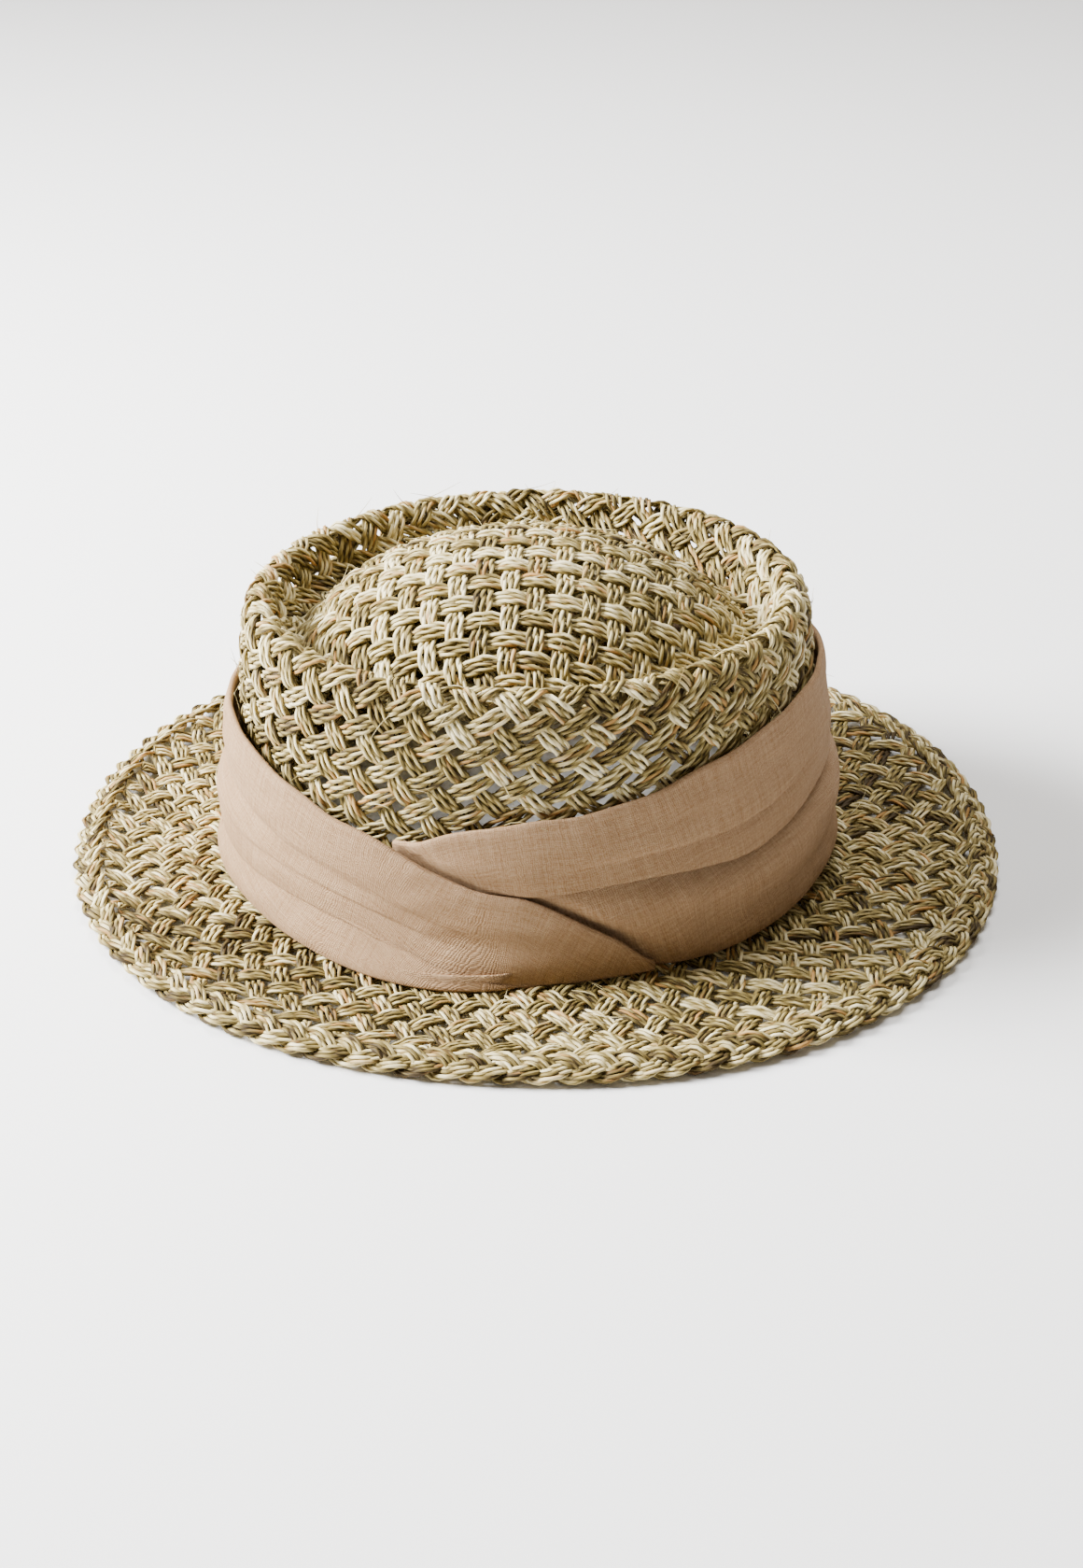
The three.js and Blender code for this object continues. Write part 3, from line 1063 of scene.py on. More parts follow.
class Nodes:
    """A material's node tree with short ways to add the nodes used here.

    MEAN is what a noise is on the mean.
    """

    MEAN = 0.5

    def __init__(self, name: str) -> None:
        """Start a material with its shader alone.

        Args:
            name: the material's name.
        """
        self.material = bpy.data.materials.new(name)
        self.material.use_nodes = True
        self.tree = self.material.node_tree
        self.shader = self.tree.nodes["Principled BSDF"]

    def node(self, kind: str, **settings: object) -> bpy.types.Node:
        """Add a node.

        Args:
            kind: the node's type.
            settings: values of its own settings, by name.

        Returns:
            The node.
        """
        made = self.tree.nodes.new(kind)
        for key, value in settings.items():
            setattr(made, key, value)
        return made

    def link(self, source: object, target: Socket) -> None:
        """Join a socket to an input, or set the input to a plain value.

        Args:
            source: an output socket, a number, a vector or a colour of three numbers.
            target: the input.
        """
        if isinstance(source, Socket):
            self.tree.links.new(source, target)
        elif isinstance(source, tuple) and len(source) == 3 and target.type == "RGBA":
            target.default_value = (*source, 1.0)
        else:
            target.default_value = source

    def joined(self, kind: str, operation: str, *values: object) -> Socket:
        """Work out one value from others.

        Args:
            kind: the node's type.
            operation: what it does.
            values: sockets or plain values for its inputs, in order.

        Returns:
            Its output.
        """
        made = self.node(kind, operation=operation)
        for value, target in zip(values, made.inputs):
            self.link(value, target)
        return made.outputs[0]

    def vector(self, operation: str, *values: object) -> Socket:
        """Combine vectors."""
        return self.joined("ShaderNodeVectorMath", operation, *values)

    def math(self, operation: str, *values: object) -> Socket:
        """Combine numbers."""
        return self.joined("ShaderNodeMath", operation, *values)

    def attribute(self, name: str, output: str = "Vector") -> Socket:
        """One of the values kept on the mesh's points."""
        return self.node("ShaderNodeAttribute", attribute_name=name).outputs[output]

    def stepped(self, value: object, low: float, high: float) -> Socket:
        """Map a number to a share.

        Args:
            value: the number.
            low: where the share is 0.
            high: where it is 1.

        Returns:
            The share, with soft ends.
        """
        made = self.node("ShaderNodeMapRange", interpolation_type="SMOOTHSTEP")
        for name, source in (("Value", value), ("From Min", low), ("From Max", high)):
            self.link(source, made.inputs[name])
        return made.outputs["Result"]

    def shaken(self, place: Socket, stretch: float, by: float, detail: float = 3.0) -> Socket:
        """Move a flat place about by noise.

        Args:
            place: the place.
            stretch: how fine the noise is.
            by: how far it moves the place, along both of its first axes.
            detail: how many times a finer noise is added.

        Returns:
            The moved place.
        """
        shake = self.noise(place, (stretch, stretch, stretch), detail)
        both = self.node("ShaderNodeCombineXYZ")
        for axis in both.inputs:
            self.link(shake, axis)
        return self.vector("ADD", place, self.vector("MULTIPLY", both.outputs[0], (by, by, 0.0)))

    def threads(self, place: Socket, axis: int, pitch: float) -> Socket:
        """Rounded threads side by side.

        Args:
            place: the place on the cloth.
            axis: the axis they follow one another along, 0 or 1.
            pitch: from one thread's middle to the next.

        Returns:
            The size of a sine: 1 on the middle of each thread and 0 between two.
        """
        split = self.node("ShaderNodeSeparateXYZ")
        self.link(place, split.inputs[0])
        turn = self.math("MULTIPLY_ADD", split.outputs[axis], math.pi / pitch, 0.0)
        return self.math("ABSOLUTE", self.math("SINE", turn))

    def noise(self, place: Socket, stretch: tuple[float, ...], detail: float = 2.0) -> Socket:
        """Noise over a place.

        Args:
            place: the place.
            stretch: how many blots go to one unit along each axis.
            detail: how many times a finer noise is added.

        Returns:
            A number from 0 to 1.
        """
        made = self.node("ShaderNodeTexNoise")
        self.link(self.vector("MULTIPLY", place, stretch), made.inputs["Vector"])
        made.inputs["Scale"].default_value = 1.0
        made.inputs["Detail"].default_value = detail
        return made.outputs["Fac"]

    def ramp(self, value: Socket, stops: tuple[float, ...], colours: tuple[Colour, ...]) -> Socket:
        """Colours that follow a number.

        Args:
            value: the number.
            stops: the number at which each colour is reached.
            colours: the colours.

        Returns:
            The colour.
        """
        made = self.node("ShaderNodeValToRGB")
        elements = made.color_ramp.elements
        while len(elements) < len(stops):
            elements.new(1.0)
        for element, place, colour in zip(elements, stops, colours):
            element.position = place
            element.color = (*colour, 1.0)
        self.link(value, made.inputs["Fac"])
        return made.outputs["Color"]

    def mix(self, a: object, b: object, share: Socket) -> Socket:
        """Mix two colours.

        Args:
            a: the colour at share 0.
            b: the colour at share 1.
            share: how much of the second.

        Returns:
            The colour.
        """
        made = self.node("ShaderNodeMix", data_type="RGBA")
        for place, source in ((0, share), (6, a), (7, b)):
            self.link(source, made.inputs[place])
        return made.outputs[2]

    def bump(self, height: Socket, strength: float, depth: float) -> None:
        """Give the surface relief.

        Args:
            height: the relief.
            strength: how much of it shows.
            depth: its height in metres.
        """
        made = self.node("ShaderNodeBump")
        for name, source in (("Height", height), ("Strength", strength), ("Distance", depth)):
            self.link(source, made.inputs[name])
        self.link(made.outputs["Normal"], self.shader.inputs["Normal"])

    def finished(self, colour: Socket, values: dict[str, object]) -> bpy.types.Material:
        """Join the colour and set what is the same all over the surface.

        Args:
            colour: the surface's colour.
            values: values of the shader's inputs, by name.

        Returns:
            The material.
        """
        self.link(colour, self.shader.inputs["Base Color"])
        for name, value in values.items():
            self.shader.inputs[name].default_value = value
        return self.material


@dataclass(frozen=True)
class GrassFinish:
    """Dried twisted grass, from olive shade to pale cream, with fine lengthwise fibres.

    The noises are stretched along the fibre: streaks, slow drift to tan, and fine fibres.
    """

    # The dark and olive ends of the ramp show both grass that is dark of its own and the painted
    # crevice shade in the tone.
    dark: Colour = (0.038, 0.022, 0.004)
    olive: Colour = (0.135, 0.097, 0.024)
    khaki: Colour = (0.30, 0.228, 0.075)
    cream: Colour = (0.64, 0.54, 0.28)
    pale: Colour = (0.80, 0.71, 0.43)
    stops: tuple[float, ...] = (0.04, 0.28, 0.53, 0.78, 0.98)
    tan: Colour = (0.40, 0.205, 0.055)
    tan_band: tuple[float, float] = (0.55, 0.72)
    streak: Triple = (0.16, 1.5, 1.5)
    streak_detail: float = 5.0
    drift: Triple = (0.03, 0.12, 0.12)
    fibre: Triple = (0.4, 4.0, 4.0)
    fibre_detail: float = 3.0
    fibre_share: float = 0.6
    bump_strength: float = 0.5
    bump_depth: float = 0.0003
    roughness: float = 0.62
    specular: float = 0.22

    def material(self, name: str) -> bpy.types.Material:
        """Make the node material.

        Args:
            name: the material's name.

        Returns:
            A material that reads the mesh's own fibre and tone values; the tone carries painted
            shade.
        """
        made = Nodes(name)
        place = made.attribute("fibre")
        streak = made.noise(place, self.streak, self.streak_detail)
        fine = made.noise(place, self.fibre, self.fibre_detail)
        streak = made.math("SUBTRACT", streak, Nodes.MEAN)
        # The tone attribute is the grass's own tone less the painted crevice shade.
        tone = made.math("ADD", made.attribute("tone", "Fac"), streak)
        share = self.fibre_share
        tone = made.math("ADD", tone, made.math("MULTIPLY_ADD", fine, share, -share * Nodes.MEAN))
        colours = (self.dark, self.olive, self.khaki, self.cream, self.pale)
        grass = made.ramp(tone, self.stops, colours)
        tan_share = made.stepped(made.noise(place, self.drift), *self.tan_band)
        made.bump(fine, self.bump_strength, self.bump_depth)
        return made.finished(
            made.mix(grass, self.tan, tan_share),
            {"Roughness": self.roughness, "Specular IOR Level": self.specular},
        )


@dataclass(frozen=True)
class LinenFinish:
    """Plain woven linen of a warm beige, with slubs along both sets of threads.

    Each pair is the factor and the amount added for one layer of the colour's pattern.
    """

    warp: Colour = (0.235, 0.130, 0.060)
    weft: Colour = (0.425, 0.278, 0.160)
    thread: float = 0.62
    shake_fineness: float = 0.35
    shake_reach: float = 1.6
    slub_long: float = 0.05
    slub_across: float = 1.3
    slubs: tuple[float, float] = (1.1, -0.6)
    weave: tuple[float, float] = (0.45, -0.17)
    fluff: tuple[float, float] = (1.1, -0.55)
    fluff_fineness: float = 1.1
    slub_detail: float = 4.0
    slub_relief: float = 0.7
    bump_strength: float = 0.8
    bump_depth: float = 0.00022
    roughness: float = 0.9
    sheen: float = 0.06
    sheen_roughness: float = 0.5
    specular: float = 0.2

    def material(self, name: str) -> bpy.types.Material:
        """Make the node material.

        Args:
            name: the material's name.

        Returns:
            A material that reads the mesh's own cloth coordinates, in millimetres.
        """
        made = Nodes(name)
        cloth = made.attribute("cloth")
        moved = made.shaken(cloth, self.shake_fineness, self.shake_reach)
        over, under = (made.threads(moved, axis, self.thread) for axis in (0, 1))
        weave = made.math("MULTIPLY", over, under)
        warp = made.noise(cloth, (self.slub_long, self.slub_across, 1.0), self.slub_detail)
        weft = made.noise(cloth, (self.slub_across, self.slub_long, 1.0), self.slub_detail)
        slubs = made.math("MULTIPLY_ADD", made.math("ADD", warp, weft), *self.slubs)
        fluff = made.noise(cloth, (self.fluff_fineness, self.fluff_fineness, 1.0))
        share = made.math("ADD", slubs, made.math("MULTIPLY_ADD", weave, *self.weave))
        share = made.math("ADD", share, made.math("MULTIPLY_ADD", fluff, *self.fluff))
        relief = made.math("ADD", weave, made.math("MULTIPLY", slubs, self.slub_relief))
        made.bump(relief, self.bump_strength, self.bump_depth)
        return made.finished(
            made.mix(self.warp, self.weft, share),
            {
                "Roughness": self.roughness,
                "Sheen Weight": self.sheen,
                "Sheen Tint": (*self.weft, 1.0),
                "Sheen Roughness": self.sheen_roughness,
                "Specular IOR Level": self.specular,
            },
        )


# The scarf


@dataclass(frozen=True)
class Fold:
    """A pleat that runs along the cloth, whose lip hangs over the cloth below it.

    Each row of line is (azimuth, height, depth of the dip below the lip, overhang of the lip).
    The dip has a sharp part, as wide as reach below the lip, and a soft part, as wide as valley.
    Below the dip the cloth swells out by roll, in full where the dip is full_dip deep.
    """

    line: Array
    reach: float = 4.5
    lip: float = 1.2
    soft: float = 0.5
    valley: float = 7.5
    roll: float = 0.0
    roll_place: float = 1.8
    roll_width: float = 1.2
    full_dip: float = 4.0
    hang_place: float = 1.6

    def press(self, azimuth: Array, level: Array, depth: Array) -> tuple[Array, Array]:
        """Press the pleat into the cloth.

        Args:
            azimuth: one azimuth for each section.
            level: heights up the flat cloth, sections by points.
            depth: how far the cloth stands off before.

        Returns:
            The depth after, less a bell curve for each part of the dip, and how far each point
            hangs down, which is a bell curve just above the lip.
        """
        at, dip, lap = smooth_table(self.line, azimuth)
        below = at - level
        width = np.where(below > 0, self.reach, self.lip)
        depth = depth - (1 - self.soft) * dip * bell(below / width)
        depth = depth - self.soft * dip * bell(below / self.valley)
        swell = bell(below / (self.roll_width * self.reach) - self.roll_place)
        depth = depth + self.roll * np.clip(dip / self.full_dip, 0, 1) * swell
        return depth, lap * bell(below / self.lip + self.hang_place)


@dataclass(frozen=True)
class Run:
    """One run of the scarf.

    Each row of edges is (azimuth from the front towards +X, lower edge, upper edge, tuck), where
    tuck is how far the lower edge is pressed in under the run that lies over it. Each row of
    flare is (azimuth, how far the lower edge spreads out over the brim). The run climbs over the
    other one from the first azimuth of crossing to the second, and laps over it past lap.
    """

    name: str
    node: str
    edges: Array
    folds: tuple[Fold, ...]
    crossing: tuple[float, float] | None = None
    lap: float | None = None
    flare: Array | None = None


LEFT_FOLDS = (
    Fold(
        table(
            (-184.5, 44, 2.8, 1), (-120, 41, 3.4, 0.8), (-90, 40, 4.8, 0.8),
            (-63, 38.5, 3.2, 0.3), (-48, 36, 1.9, 0.3), (-36, 33, 1.8, 0.4),
            (-23, 27.5, 1.8, 0.8), (-9, 19.6, 1.8, 1.2), (2, 9, 1.5, 1.2),
            (10, 1, 0.5, 0.5), (24.2, -12, 0, 0),
        ),
        reach=4.6,
        lip=2.6,
        roll=1.2,
    ),
    Fold(
        table(
            (-184.5, 20, 2.8, 1.6), (-120, 13, 3.4, 0.8), (-90, 14, 4.6, 0.8),
            (-63, 16, 3.2, 0.6), (-48, 18, 2.2, 1.4), (-36, 18.4, 2.5, 2.4),
            (-23, 15, 2.9, 3.2), (-9, 8.6, 2.8, 3.4), (2, 3.5, 1.4, 1.6),
            (10, -4, 0, 0), (24.2, -14, 0, 0),
        ),
        reach=4.2,
        lip=1.4,
        roll=0.9,
    ),
    Fold(
        table(
            (-184.5, 30, 0, 0), (-90, 29, 0, 0), (-63, 28, 0.8, 0.2),
            (-48, 27.5, 1.3, 0.5), (-36, 26, 1.4, 0.8), (-23, 21.5, 1.5, 1),
            (-9, 14.2, 1.4, 0.9), (2, 6, 0.8, 0.5), (10, -2, 0, 0),
            (24.2, -13, 0, 0),
        ),
        reach=3.2,
        lip=1.7,
        soft=0.2,
    ),
)
LEFT_RUN = Run(
    "scarf_left_linen",
    "scarf_left_run",
    table(
        (-184.5, 5, 68.4, 0), (-150, 4.6, 65.8, 0), (-120, 4.2, 64.5, 0),
        (-90, 4, 64, 0), (-63, 3.9, 63.6, 0), (-48, 3.8, 59.4, 0),
        (-36, 3.7, 54, 0), (-23, 3.6, 49.4, 0), (-9, 3.5, 38.6, 0),
        (2, 3.5, 34.2, 0), (10, 3.8, 27.2, 0), (17.5, 4, 18.5, 0),
        (24.2, 4.2, 8.4, 0),
    ),
    LEFT_FOLDS,
    crossing=(-40.0, -26.0),
    lap=-172.0,
    flare=table(
        (-184.5, 0), (-63, 0), (-48, 1.5), (-36, 4), (-23, 7),
        (-12, 8.5), (-3, 6.5), (4, 2.5), (12, 0), (24.2, 0),
    ),
)
RIGHT_FOLDS = (
    Fold(
        table(
            (-22.6, 20, 0, 0), (-9, 33, 0.8, 1.6), (2, 36.6, 2, 3.4),
            (10, 38.8, 2.8, 4.2), (17.5, 40.2, 3.6, 4.6), (25, 40.8, 4.4, 4.8),
            (34, 40.8, 5.4, 5.8), (45, 40.2, 6.2, 6.4), (57, 42.2, 6.6, 6.2),
            (70, 46.4, 6.4, 5), (90, 47, 5, 3), (120, 48, 3.2, 1.6),
            (150, 46, 2.8, 1.2), (179.6, 44, 2.6, 1),
        ),
        reach=6.0,
        lip=1.5,
        soft=0.15,
        roll=1.3,
    ),
    Fold(
        table(
            (-22.6, 30, 0, 0), (2, 42, 0, 0), (10, 44.6, 0.6, 0.3),
            (17.5, 46, 1.3, 0.8), (25, 46.8, 1.8, 1.2), (34, 47.4, 2, 1.4),
            (45, 48.4, 1.8, 1.2), (57, 51.6, 1.2, 0.8), (70, 57, 0.6, 0.3),
            (90, 58, 0, 0), (179.6, 56, 0, 0),
        ),
        reach=2.8,
        lip=1.8,
        soft=0.2,
    ),
    Fold(
        table(
            (-22.6, 0, 0, 0), (10, 20, 0, 0), (25, 22, 0.8, 0),
            (45, 20, 1.2, 0), (70, 19, 1.6, 0.3), (90, 19, 1.9, 0.6),
            (120, 20, 2.2, 1), (150, 20, 2, 1.4), (179.6, 20, 2.4, 1.6),
        ),
        reach=5.0,
        lip=3.0,
    ),
)
RIGHT_RUN = Run(
    "scarf_right_linen",
    "scarf_right_run",
    table(
        (-22.6, 41.5, 50, 1), (-9, 30.5, 58, 1), (2, 26, 61.2, 1),
        (10, 19, 62.8, 1), (17.5, 10.5, 65.2, 1), (25, 4.4, 68, 0.45),
        (34, 4.4, 71.8, 0), (45, 4.8, 75, 0), (57, 6.8, 78.6, 0),
        (70, 8.6, 80.8, 0), (90, 8.6, 80, 0), (120, 6.6, 77, 0),
        (150, 5.4, 72.4, 0), (179.6, 5, 68, 0),
    ),
    RIGHT_FOLDS,
)
STAND_OFF_HEIGHTS = (3.0, 14.0, 30.0, 50.0, 66.0, 84.0)
STAND_OFF = (9.6, 9.4, 8.2, 6.6, 4.6, 3.6)


@dataclass
class Scarf:
    """Folded linen wound round the crown.

    Both edges are turned under in a half round of radius curl, for at most most_turned of the
    width. The cloth keeps edge_room or cloth_room off the straw.
    """

    crown: RowSurface
    straw_half: float = 1.5
    thickness: float = 0.55
    curl: float = 1.1
    turned_under: float = 4.5
    most_turned: float = 0.4
    step: float = 1.5
    face_points: int = 92
    curl_points: int = 6
    crowding: float = 2.5
    crowd_reach: float = 2.2
    spread_points: int = 400
    radius: float = 96.0
    ripple: float = 0.22
    ripple_height: float = 3.1
    ripple_beat: float = 19.0
    crinkle: float = 0.14
    crinkle_height: float = 1.7
    crinkle_wander: float = 1.5
    edge_waves: tuple[float, float] = (0.35, 0.25)
    edge_sink: float = 0.6
    edge_zone: float = 0.8
    edge_room: float = 0.4
    cloth_room: float = 1.0
    tuck_depth: float = 2.9
    tuck_from: float = 6.0
    tuck_over: float = 10.0
    flare_height: float = 17.0
    crossing_depth: float = 6.1
    lap_slope: float = 7.0
    lap_lift: float = 1.3

    def __post_init__(self) -> None:
        """Measure the height of the crown's side."""
        self._places = np.linspace(0, CROWN_SIDE_TOP, 200)
        self._heights = self.crown.row_at(self._places)[:, 2]

    def over_straw(self, azimuth: Array, height: Array, depth: Array) -> Array:
        """Points that stand off the crown's side.

        Args:
            azimuth: degrees from the front towards +X.
            height: height of each point.
            depth: how far it stands off the straw's face.

        Returns:
            The points, on ovals that are wider than the crown's by the depth.
        """
        row = self.crown.row_at(np.interp(height, self._heights, self._places))
        angle = np.radians(azimuth) - np.radians(row[..., 3]) - TURN / 4
        x = (row[..., 0] + self.straw_half + depth) * np.cos(angle)
        y = (row[..., 1] + self.straw_half + depth) * np.sin(angle)
        return turned(x, y, height, row)

    def spread(self, run: Run, azimuth: Array, low: Array, high: Array) -> Array:
        """Places up each section, closer together round its folds.

        Args:
            run: the run.
            azimuth: azimuth of each section.
            low: lower end of each section.
            high: upper end of each section.

        Returns:
            Heights, sections by points.
        """
        fine = low + (high - low) * np.linspace(0, 1, self.spread_points)[None, :]
        crowd = np.ones_like(fine)
        for fold in run.folds:
            at, dip, _ = smooth_table(fold.line, azimuth)
            near = bell((fine - at) / (self.crowd_reach * fold.lip))
            crowd = crowd + self.crowding * np.clip(dip, 0, 1) * near
        total = np.cumsum(crowd, axis=1)
        share = (total - total[:, :1]) / (total[:, -1:] - total[:, :1])
        even = np.linspace(0, 1, self.face_points)
        return np.stack([np.interp(even, s, f) for s, f in zip(share, fine)])

    def rippled(self, level: Array, turn: Array) -> Array:
        """The cloth before its folds.

        Args:
            level: heights, sections by points.
            turn: azimuth of each section in radians.

        Returns:
            Depths off the straw: a smooth belly, with two sines of the height that wander
            round the hat, a broad one that comes and goes and a narrow one.
        """
        depth = np.interp(level, STAND_OFF_HEIGHTS, STAND_OFF)
        comes = np.sin(5 * turn + level / self.ripple_beat)
        depth = depth + self.ripple * np.sin(level / self.ripple_height + 3 * turn) * comes
        wander_by = self.crinkle_wander * np.sin(11 * turn)
        return depth + self.crinkle * np.sin(level / self.crinkle_height - 7 * turn + wander_by)

    def laid_over(self, run: Run, azimuth: Array, above: Array, depth: Array) -> Array:
        """Spread the lower edge over the brim and lift the cloth over the other run.

        Args:
            run: the run.
            azimuth: one azimuth for each section.
            above: height above the lower edge, sections by points.
            depth: how far the cloth stands off before.

        Returns:
            The depth after.
        """
        if run.flare is not None:
            flare = smooth_table(run.flare, azimuth)[0]
            depth = depth + flare * eased(1 - above / self.flare_height)
        if run.crossing:
            start, end = run.crossing
            climb = eased((azimuth[:, None] - start) / (end - start))
            depth = np.maximum(depth, self.crossing_depth * climb)
        if run.lap:
            depth = depth + self.lap_lift * eased((run.lap - azimuth[:, None]) / self.lap_slope)
        return depth

    def face(self, run: Run, azimuth: Array) -> tuple[Array, Array]:
        """The linen's outer face.

        Args:
            run: the run the sections belong to.
            azimuth: one azimuth for each section.

        Returns:
            Heights and depths off the straw, sections by points, from the lower edge to the
            upper one. The upper edge waves a little, the cloth sinks under each fold's lip,
            and both edges are drawn in.
        """
        low, high, tuck = smooth_table(run.edges, azimuth)
        turn = np.radians(azimuth)[:, None]
        slow, quick = self.edge_waves
        high = high + slow * np.sin(9 * turn + 1.0) + quick * np.sin(23 * turn)
        level = self.spread(run, azimuth, low + self.curl, high - self.curl)
        height, depth = level.copy(), self.rippled(level, turn)
        for fold in run.folds:
            depth, hang = fold.press(azimuth, level, depth)
            height = height - hang
        above = level - low
        edge = np.abs(2 * above / (high - low) - 1)
        depth = depth - self.edge_sink * edge**10
        free = eased((above - self.tuck_from) / self.tuck_over)
        depth = depth + (self.tuck_depth - depth) * tuck * (1 - free)
        depth = self.laid_over(run, azimuth, above, depth)
        at_edge, elsewhere = 2 * self.curl + self.edge_room, self.thickness + self.cloth_room
        return height, np.maximum(depth, np.where(edge > self.edge_zone, at_edge, elsewhere))

    def curled(self, height: Array, depth: Array) -> tuple[Array, Array]:
        """Turn both edges under.

        Args:
            height: heights of the face, sections by points.
            depth: depths of the face.

        Returns:
            The same with a half round at both ends and a flat strip behind it.
        """
        turn = np.linspace(0, math.pi, self.curl_points + 1)[None, 1:]
        room = height[:, -1:] - height[:, :1]
        strip = np.minimum(self.turned_under, self.most_turned * room)
        ends = []
        for end, sign in ((slice(0, 1), -1), (slice(-1, None), 1)):
            h, d = height[:, end], depth[:, end]
            bend_h, bend_d = h + sign * self.curl * np.sin(turn), d - self.curl * (1 - np.cos(turn))
            tail_h, tail_d = h - sign * strip, d - 2 * self.curl
            ends.append((np.hstack([bend_h, tail_h]), np.hstack([bend_d, tail_d])))
        (low_h, low_d), (high_h, high_d) = ends
        height = np.hstack([low_h[:, ::-1], height, high_h])
        return height, np.hstack([low_d[:, ::-1], depth, high_d])

    def threads(self, run: Run, azimuth: Array, climb: Array) -> Array:
        """Cloth coordinates that lean with the run's upper edge.

        Args:
            run: the run.
            azimuth: one azimuth for each section.
            climb: length up the cloth from its upper end, below zero, sections by points.

        Returns:
            Length along the cloth and across it, in millimetres, and 0.
        """
        along = np.radians(azimuth)[:, None] * self.radius
        upper = smooth_table(run.edges, azimuth)[1]
        lean = np.arctan(np.gradient(upper, axis=0) / np.gradient(along, axis=0))
        length = along / np.cos(lean) + climb * np.sin(lean)
        return np.stack([length, climb * np.cos(lean), 0 * climb], axis=-1)

    def build(self, run: Run, material: bpy.types.Material) -> bpy.types.Object:
        """Make one run.

        Args:
            run: the run's tables.
            material: the linen.

        Returns:
            The cloth as one closed slab.
        """
        first, last = run.edges[0, 0], run.edges[-1, 0]
        azimuth = np.linspace(first, last, int((last - first) / self.step) + 1)
        height, depth = self.curled(*self.face(run, azimuth))
        outer = self.over_straw(np.broadcast_to(azimuth[:, None], height.shape), height, depth)
        outward = unit(np.cross(np.gradient(outer, axis=0), np.gradient(outer, axis=1)))
        inner = outer - self.thickness * outward
        piece = mesh_object(run.name, *slab(outer, inner), material)
        climb = running(gaps(outer, 1))
        climb = climb - climb[:, -1:]
        cloth = self.threads(run, azimuth, climb).reshape(-1, 3)
        keep_values(piece, "cloth", np.concatenate([cloth, cloth]))
        length = gaps(outer, 0).mean(axis=1).sum()
        return piece


# Camera, floor and light


@dataclass(frozen=True)
class Lamp:
    """A square soft light that is aimed at the hat, with its place and size in metres."""

    name: str
    place: Triple
    size: float
    watts: float
    aim: Triple = (0.0, 0.0, 0.05)

    def light(self) -> None:
        """Put the light in the scene."""
        data = bpy.data.lights.new(self.name, "AREA")
        data.size = self.size
        data.energy = self.watts
        place = Vector(self.place)
        turn = (Vector(self.aim) - place).to_track_quat("-Z", "Y").to_matrix().to_4x4()
        lamp = bpy.data.objects.new(self.name, data)
        lamp.matrix_world = Matrix.Translation(place) @ turn
        bpy.context.scene.collection.objects.link(lamp)


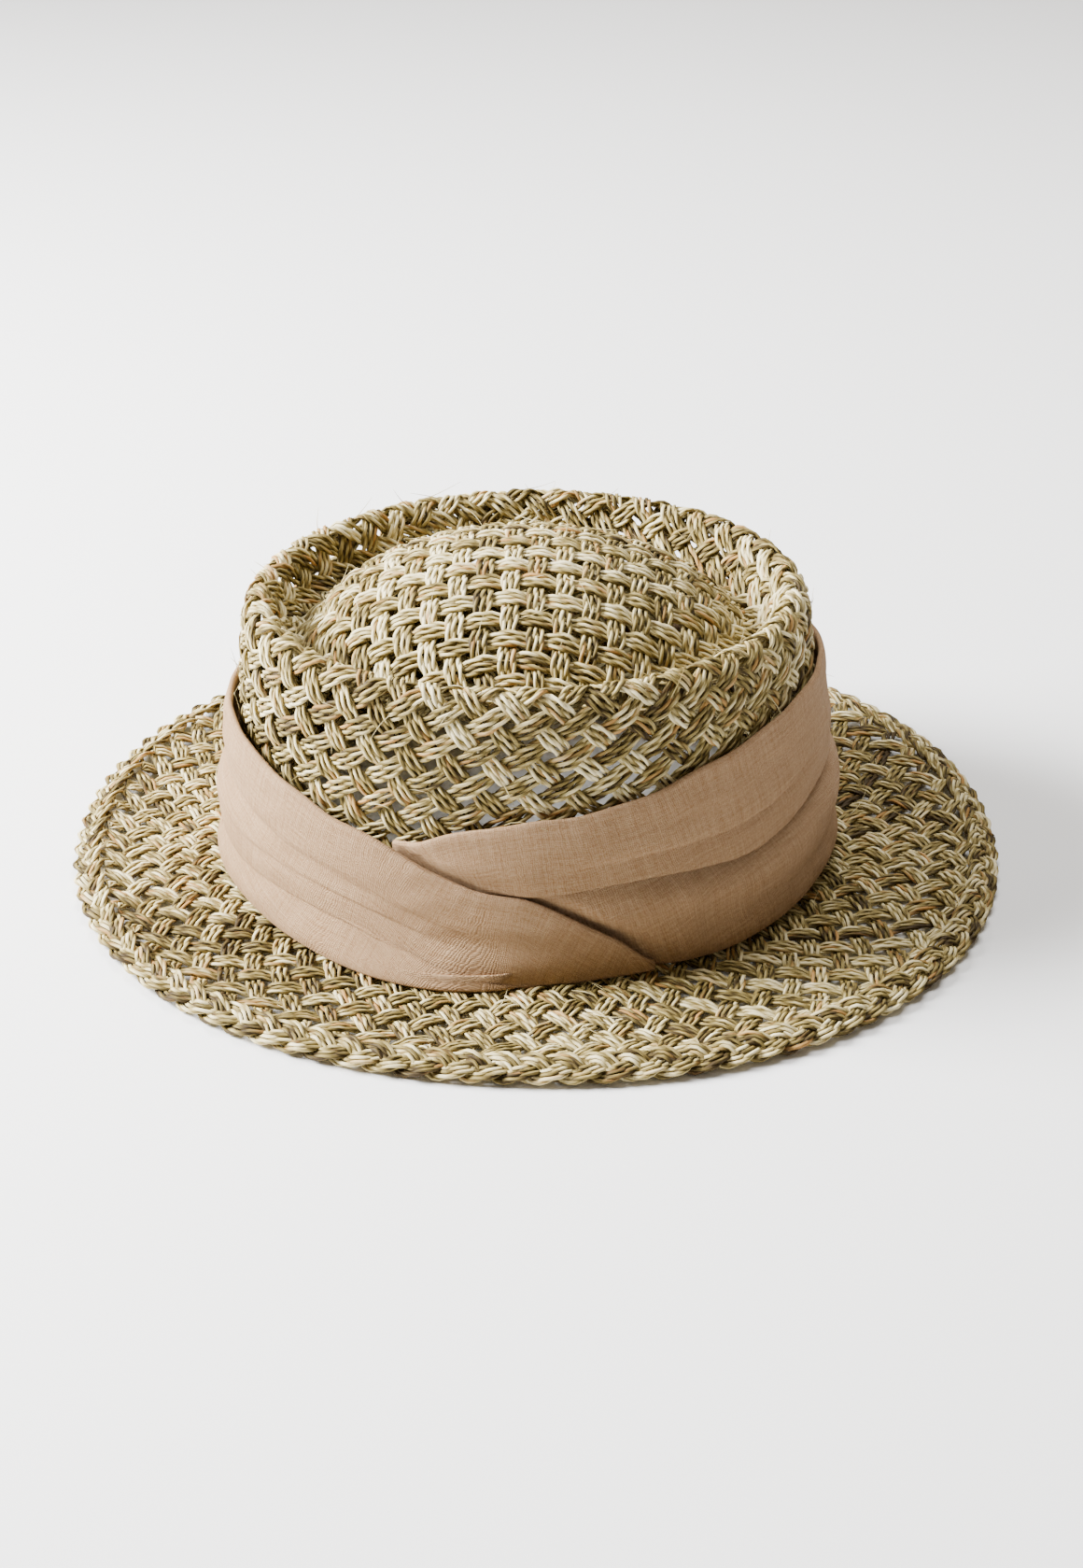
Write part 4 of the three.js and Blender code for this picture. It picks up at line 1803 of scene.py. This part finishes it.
@dataclass(frozen=True)
class Studio:
    """The camera that looks down on the hat's front, a pale floor and soft light from the left.

    The camera's distance, its shift to the right and the height it aims at are in metres, its
    angles in degrees.
    """

    distance: float = 0.900
    elevation: float = 30.339
    turn: float = 2.088
    across: float = 0.002062
    target: float = 0.022439
    lens: float = 56.745
    sensor: float = 36.0
    floor_half: float = 4000.0
    floor_colours: tuple[Colour, Colour] = ((0.90, 0.90, 0.90), (0.92, 0.92, 0.92))
    floor_grain: float = 3.0
    floor_roughness: float = 0.9
    surround: Colour = (1.0, 0.86, 0.67)
    surround_strength: float = 0.26
    lamps: tuple[Lamp, ...] = (
        Lamp("key_light", (-1.25, 0.04, 0.82), 0.65, 146.0),
        Lamp("top_light", (0.15, 0.65, 1.5), 0.9, 32.0),
    )

    def camera(self) -> None:
        """Place the camera and make it the scene's."""
        a, e = math.radians(self.turn), math.radians(self.elevation)
        back = Vector((math.sin(a) * math.cos(e), -math.cos(a) * math.cos(e), math.sin(e)))
        right = Vector((math.cos(a), math.sin(a), 0.0))
        place = right * self.across + Vector((0.0, 0.0, self.target)) + back * self.distance
        data = bpy.data.cameras.new("front_camera")
        data.lens = self.lens
        data.sensor_width = self.sensor
        camera = bpy.data.objects.new("front_camera", data)
        turn = Matrix((right, back.cross(right), back)).transposed().to_4x4()
        camera.matrix_world = Matrix.Translation(place) @ turn
        bpy.context.scene.collection.objects.link(camera)
        bpy.context.scene.camera = camera

    def floor(self) -> bpy.types.Object:
        """Make the floor.

        Returns:
            A wide pale flat sheet under the hat.
        """
        corners = self.floor_half * table((-1, -1, 0), (1, -1, 0), (1, 1, 0), (-1, 1, 0))
        made = Nodes("floor_paper")
        place = made.node("ShaderNodeTexCoord").outputs["Object"]
        grain = made.noise(place, (self.floor_grain, self.floor_grain, self.floor_grain))
        tint = made.mix(*self.floor_colours, grain)
        material = made.finished(tint, {"Roughness": self.floor_roughness})
        return mesh_object("floor", corners, np.array([[0, 1, 2, 3]]), material)

    def world(self) -> None:
        """Give the scene an even warm surround."""
        world = bpy.data.worlds.new("studio")
        world.use_nodes = True
        inputs = world.node_tree.nodes["Background"].inputs
        inputs["Color"].default_value = (*self.surround, 1.0)
        inputs["Strength"].default_value = self.surround_strength
        bpy.context.scene.world = world

    def set(self) -> None:
        """Set up the whole studio."""
        self.camera()
        self.world()
        for lamp in self.lamps:
            lamp.light()
        self.floor()


# The whole hat


def dress(piece: bpy.types.Object, nodes: list[str]) -> None:
    """Hand a piece to the frame.

    Args:
        piece: the piece.
        nodes: the frame's plain nodes that it stands in for.
    """
    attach(piece, "root")
    if nodes:
        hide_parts(*nodes)


def main() -> None:
    """Build the looks over the frame and hand them over."""
    logging.basicConfig(level=logging.INFO, format="%(name)s: %(message)s")
    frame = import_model()
    grass = GrassFinish().material("grass_weave")
    plait = GrassFinish().material("grass_plait")
    linen = LinenFinish().material("linen")
    crown_nodes = [n for n in frame["nodes"] if n.startswith("crown")]
    crown = crown_surface()
    crown_weave = CrownWeave(Bundle(spacing=1.98), CrownLattice(crown))
    brim_weave = BrimWeave(Bundle(spacing=1.86, ply_radius=0.75), RowSurface(BRIM_ROWS))
    for piece in crown_weave.build(grass):
        dress(piece, crown_nodes)
    for piece in brim_weave.build(grass):
        dress(piece, ["brim"])
    edge = EdgePlait(Bundle(spacing=1.75, ply_radius=0.75, drift=0.15))
    dress(edge.build(plait), ["brim_edge_plait"])
    strays = StrayFibres().build(crown_weave.laid + brim_weave.laid, grass)
    dress(strays, [])
    scarf = Scarf(crown)
    for run in (LEFT_RUN, RIGHT_RUN):
        dress(scarf.build(run, linen), [run.node])
    Studio().set()


if __name__ == "__main__":
    main()
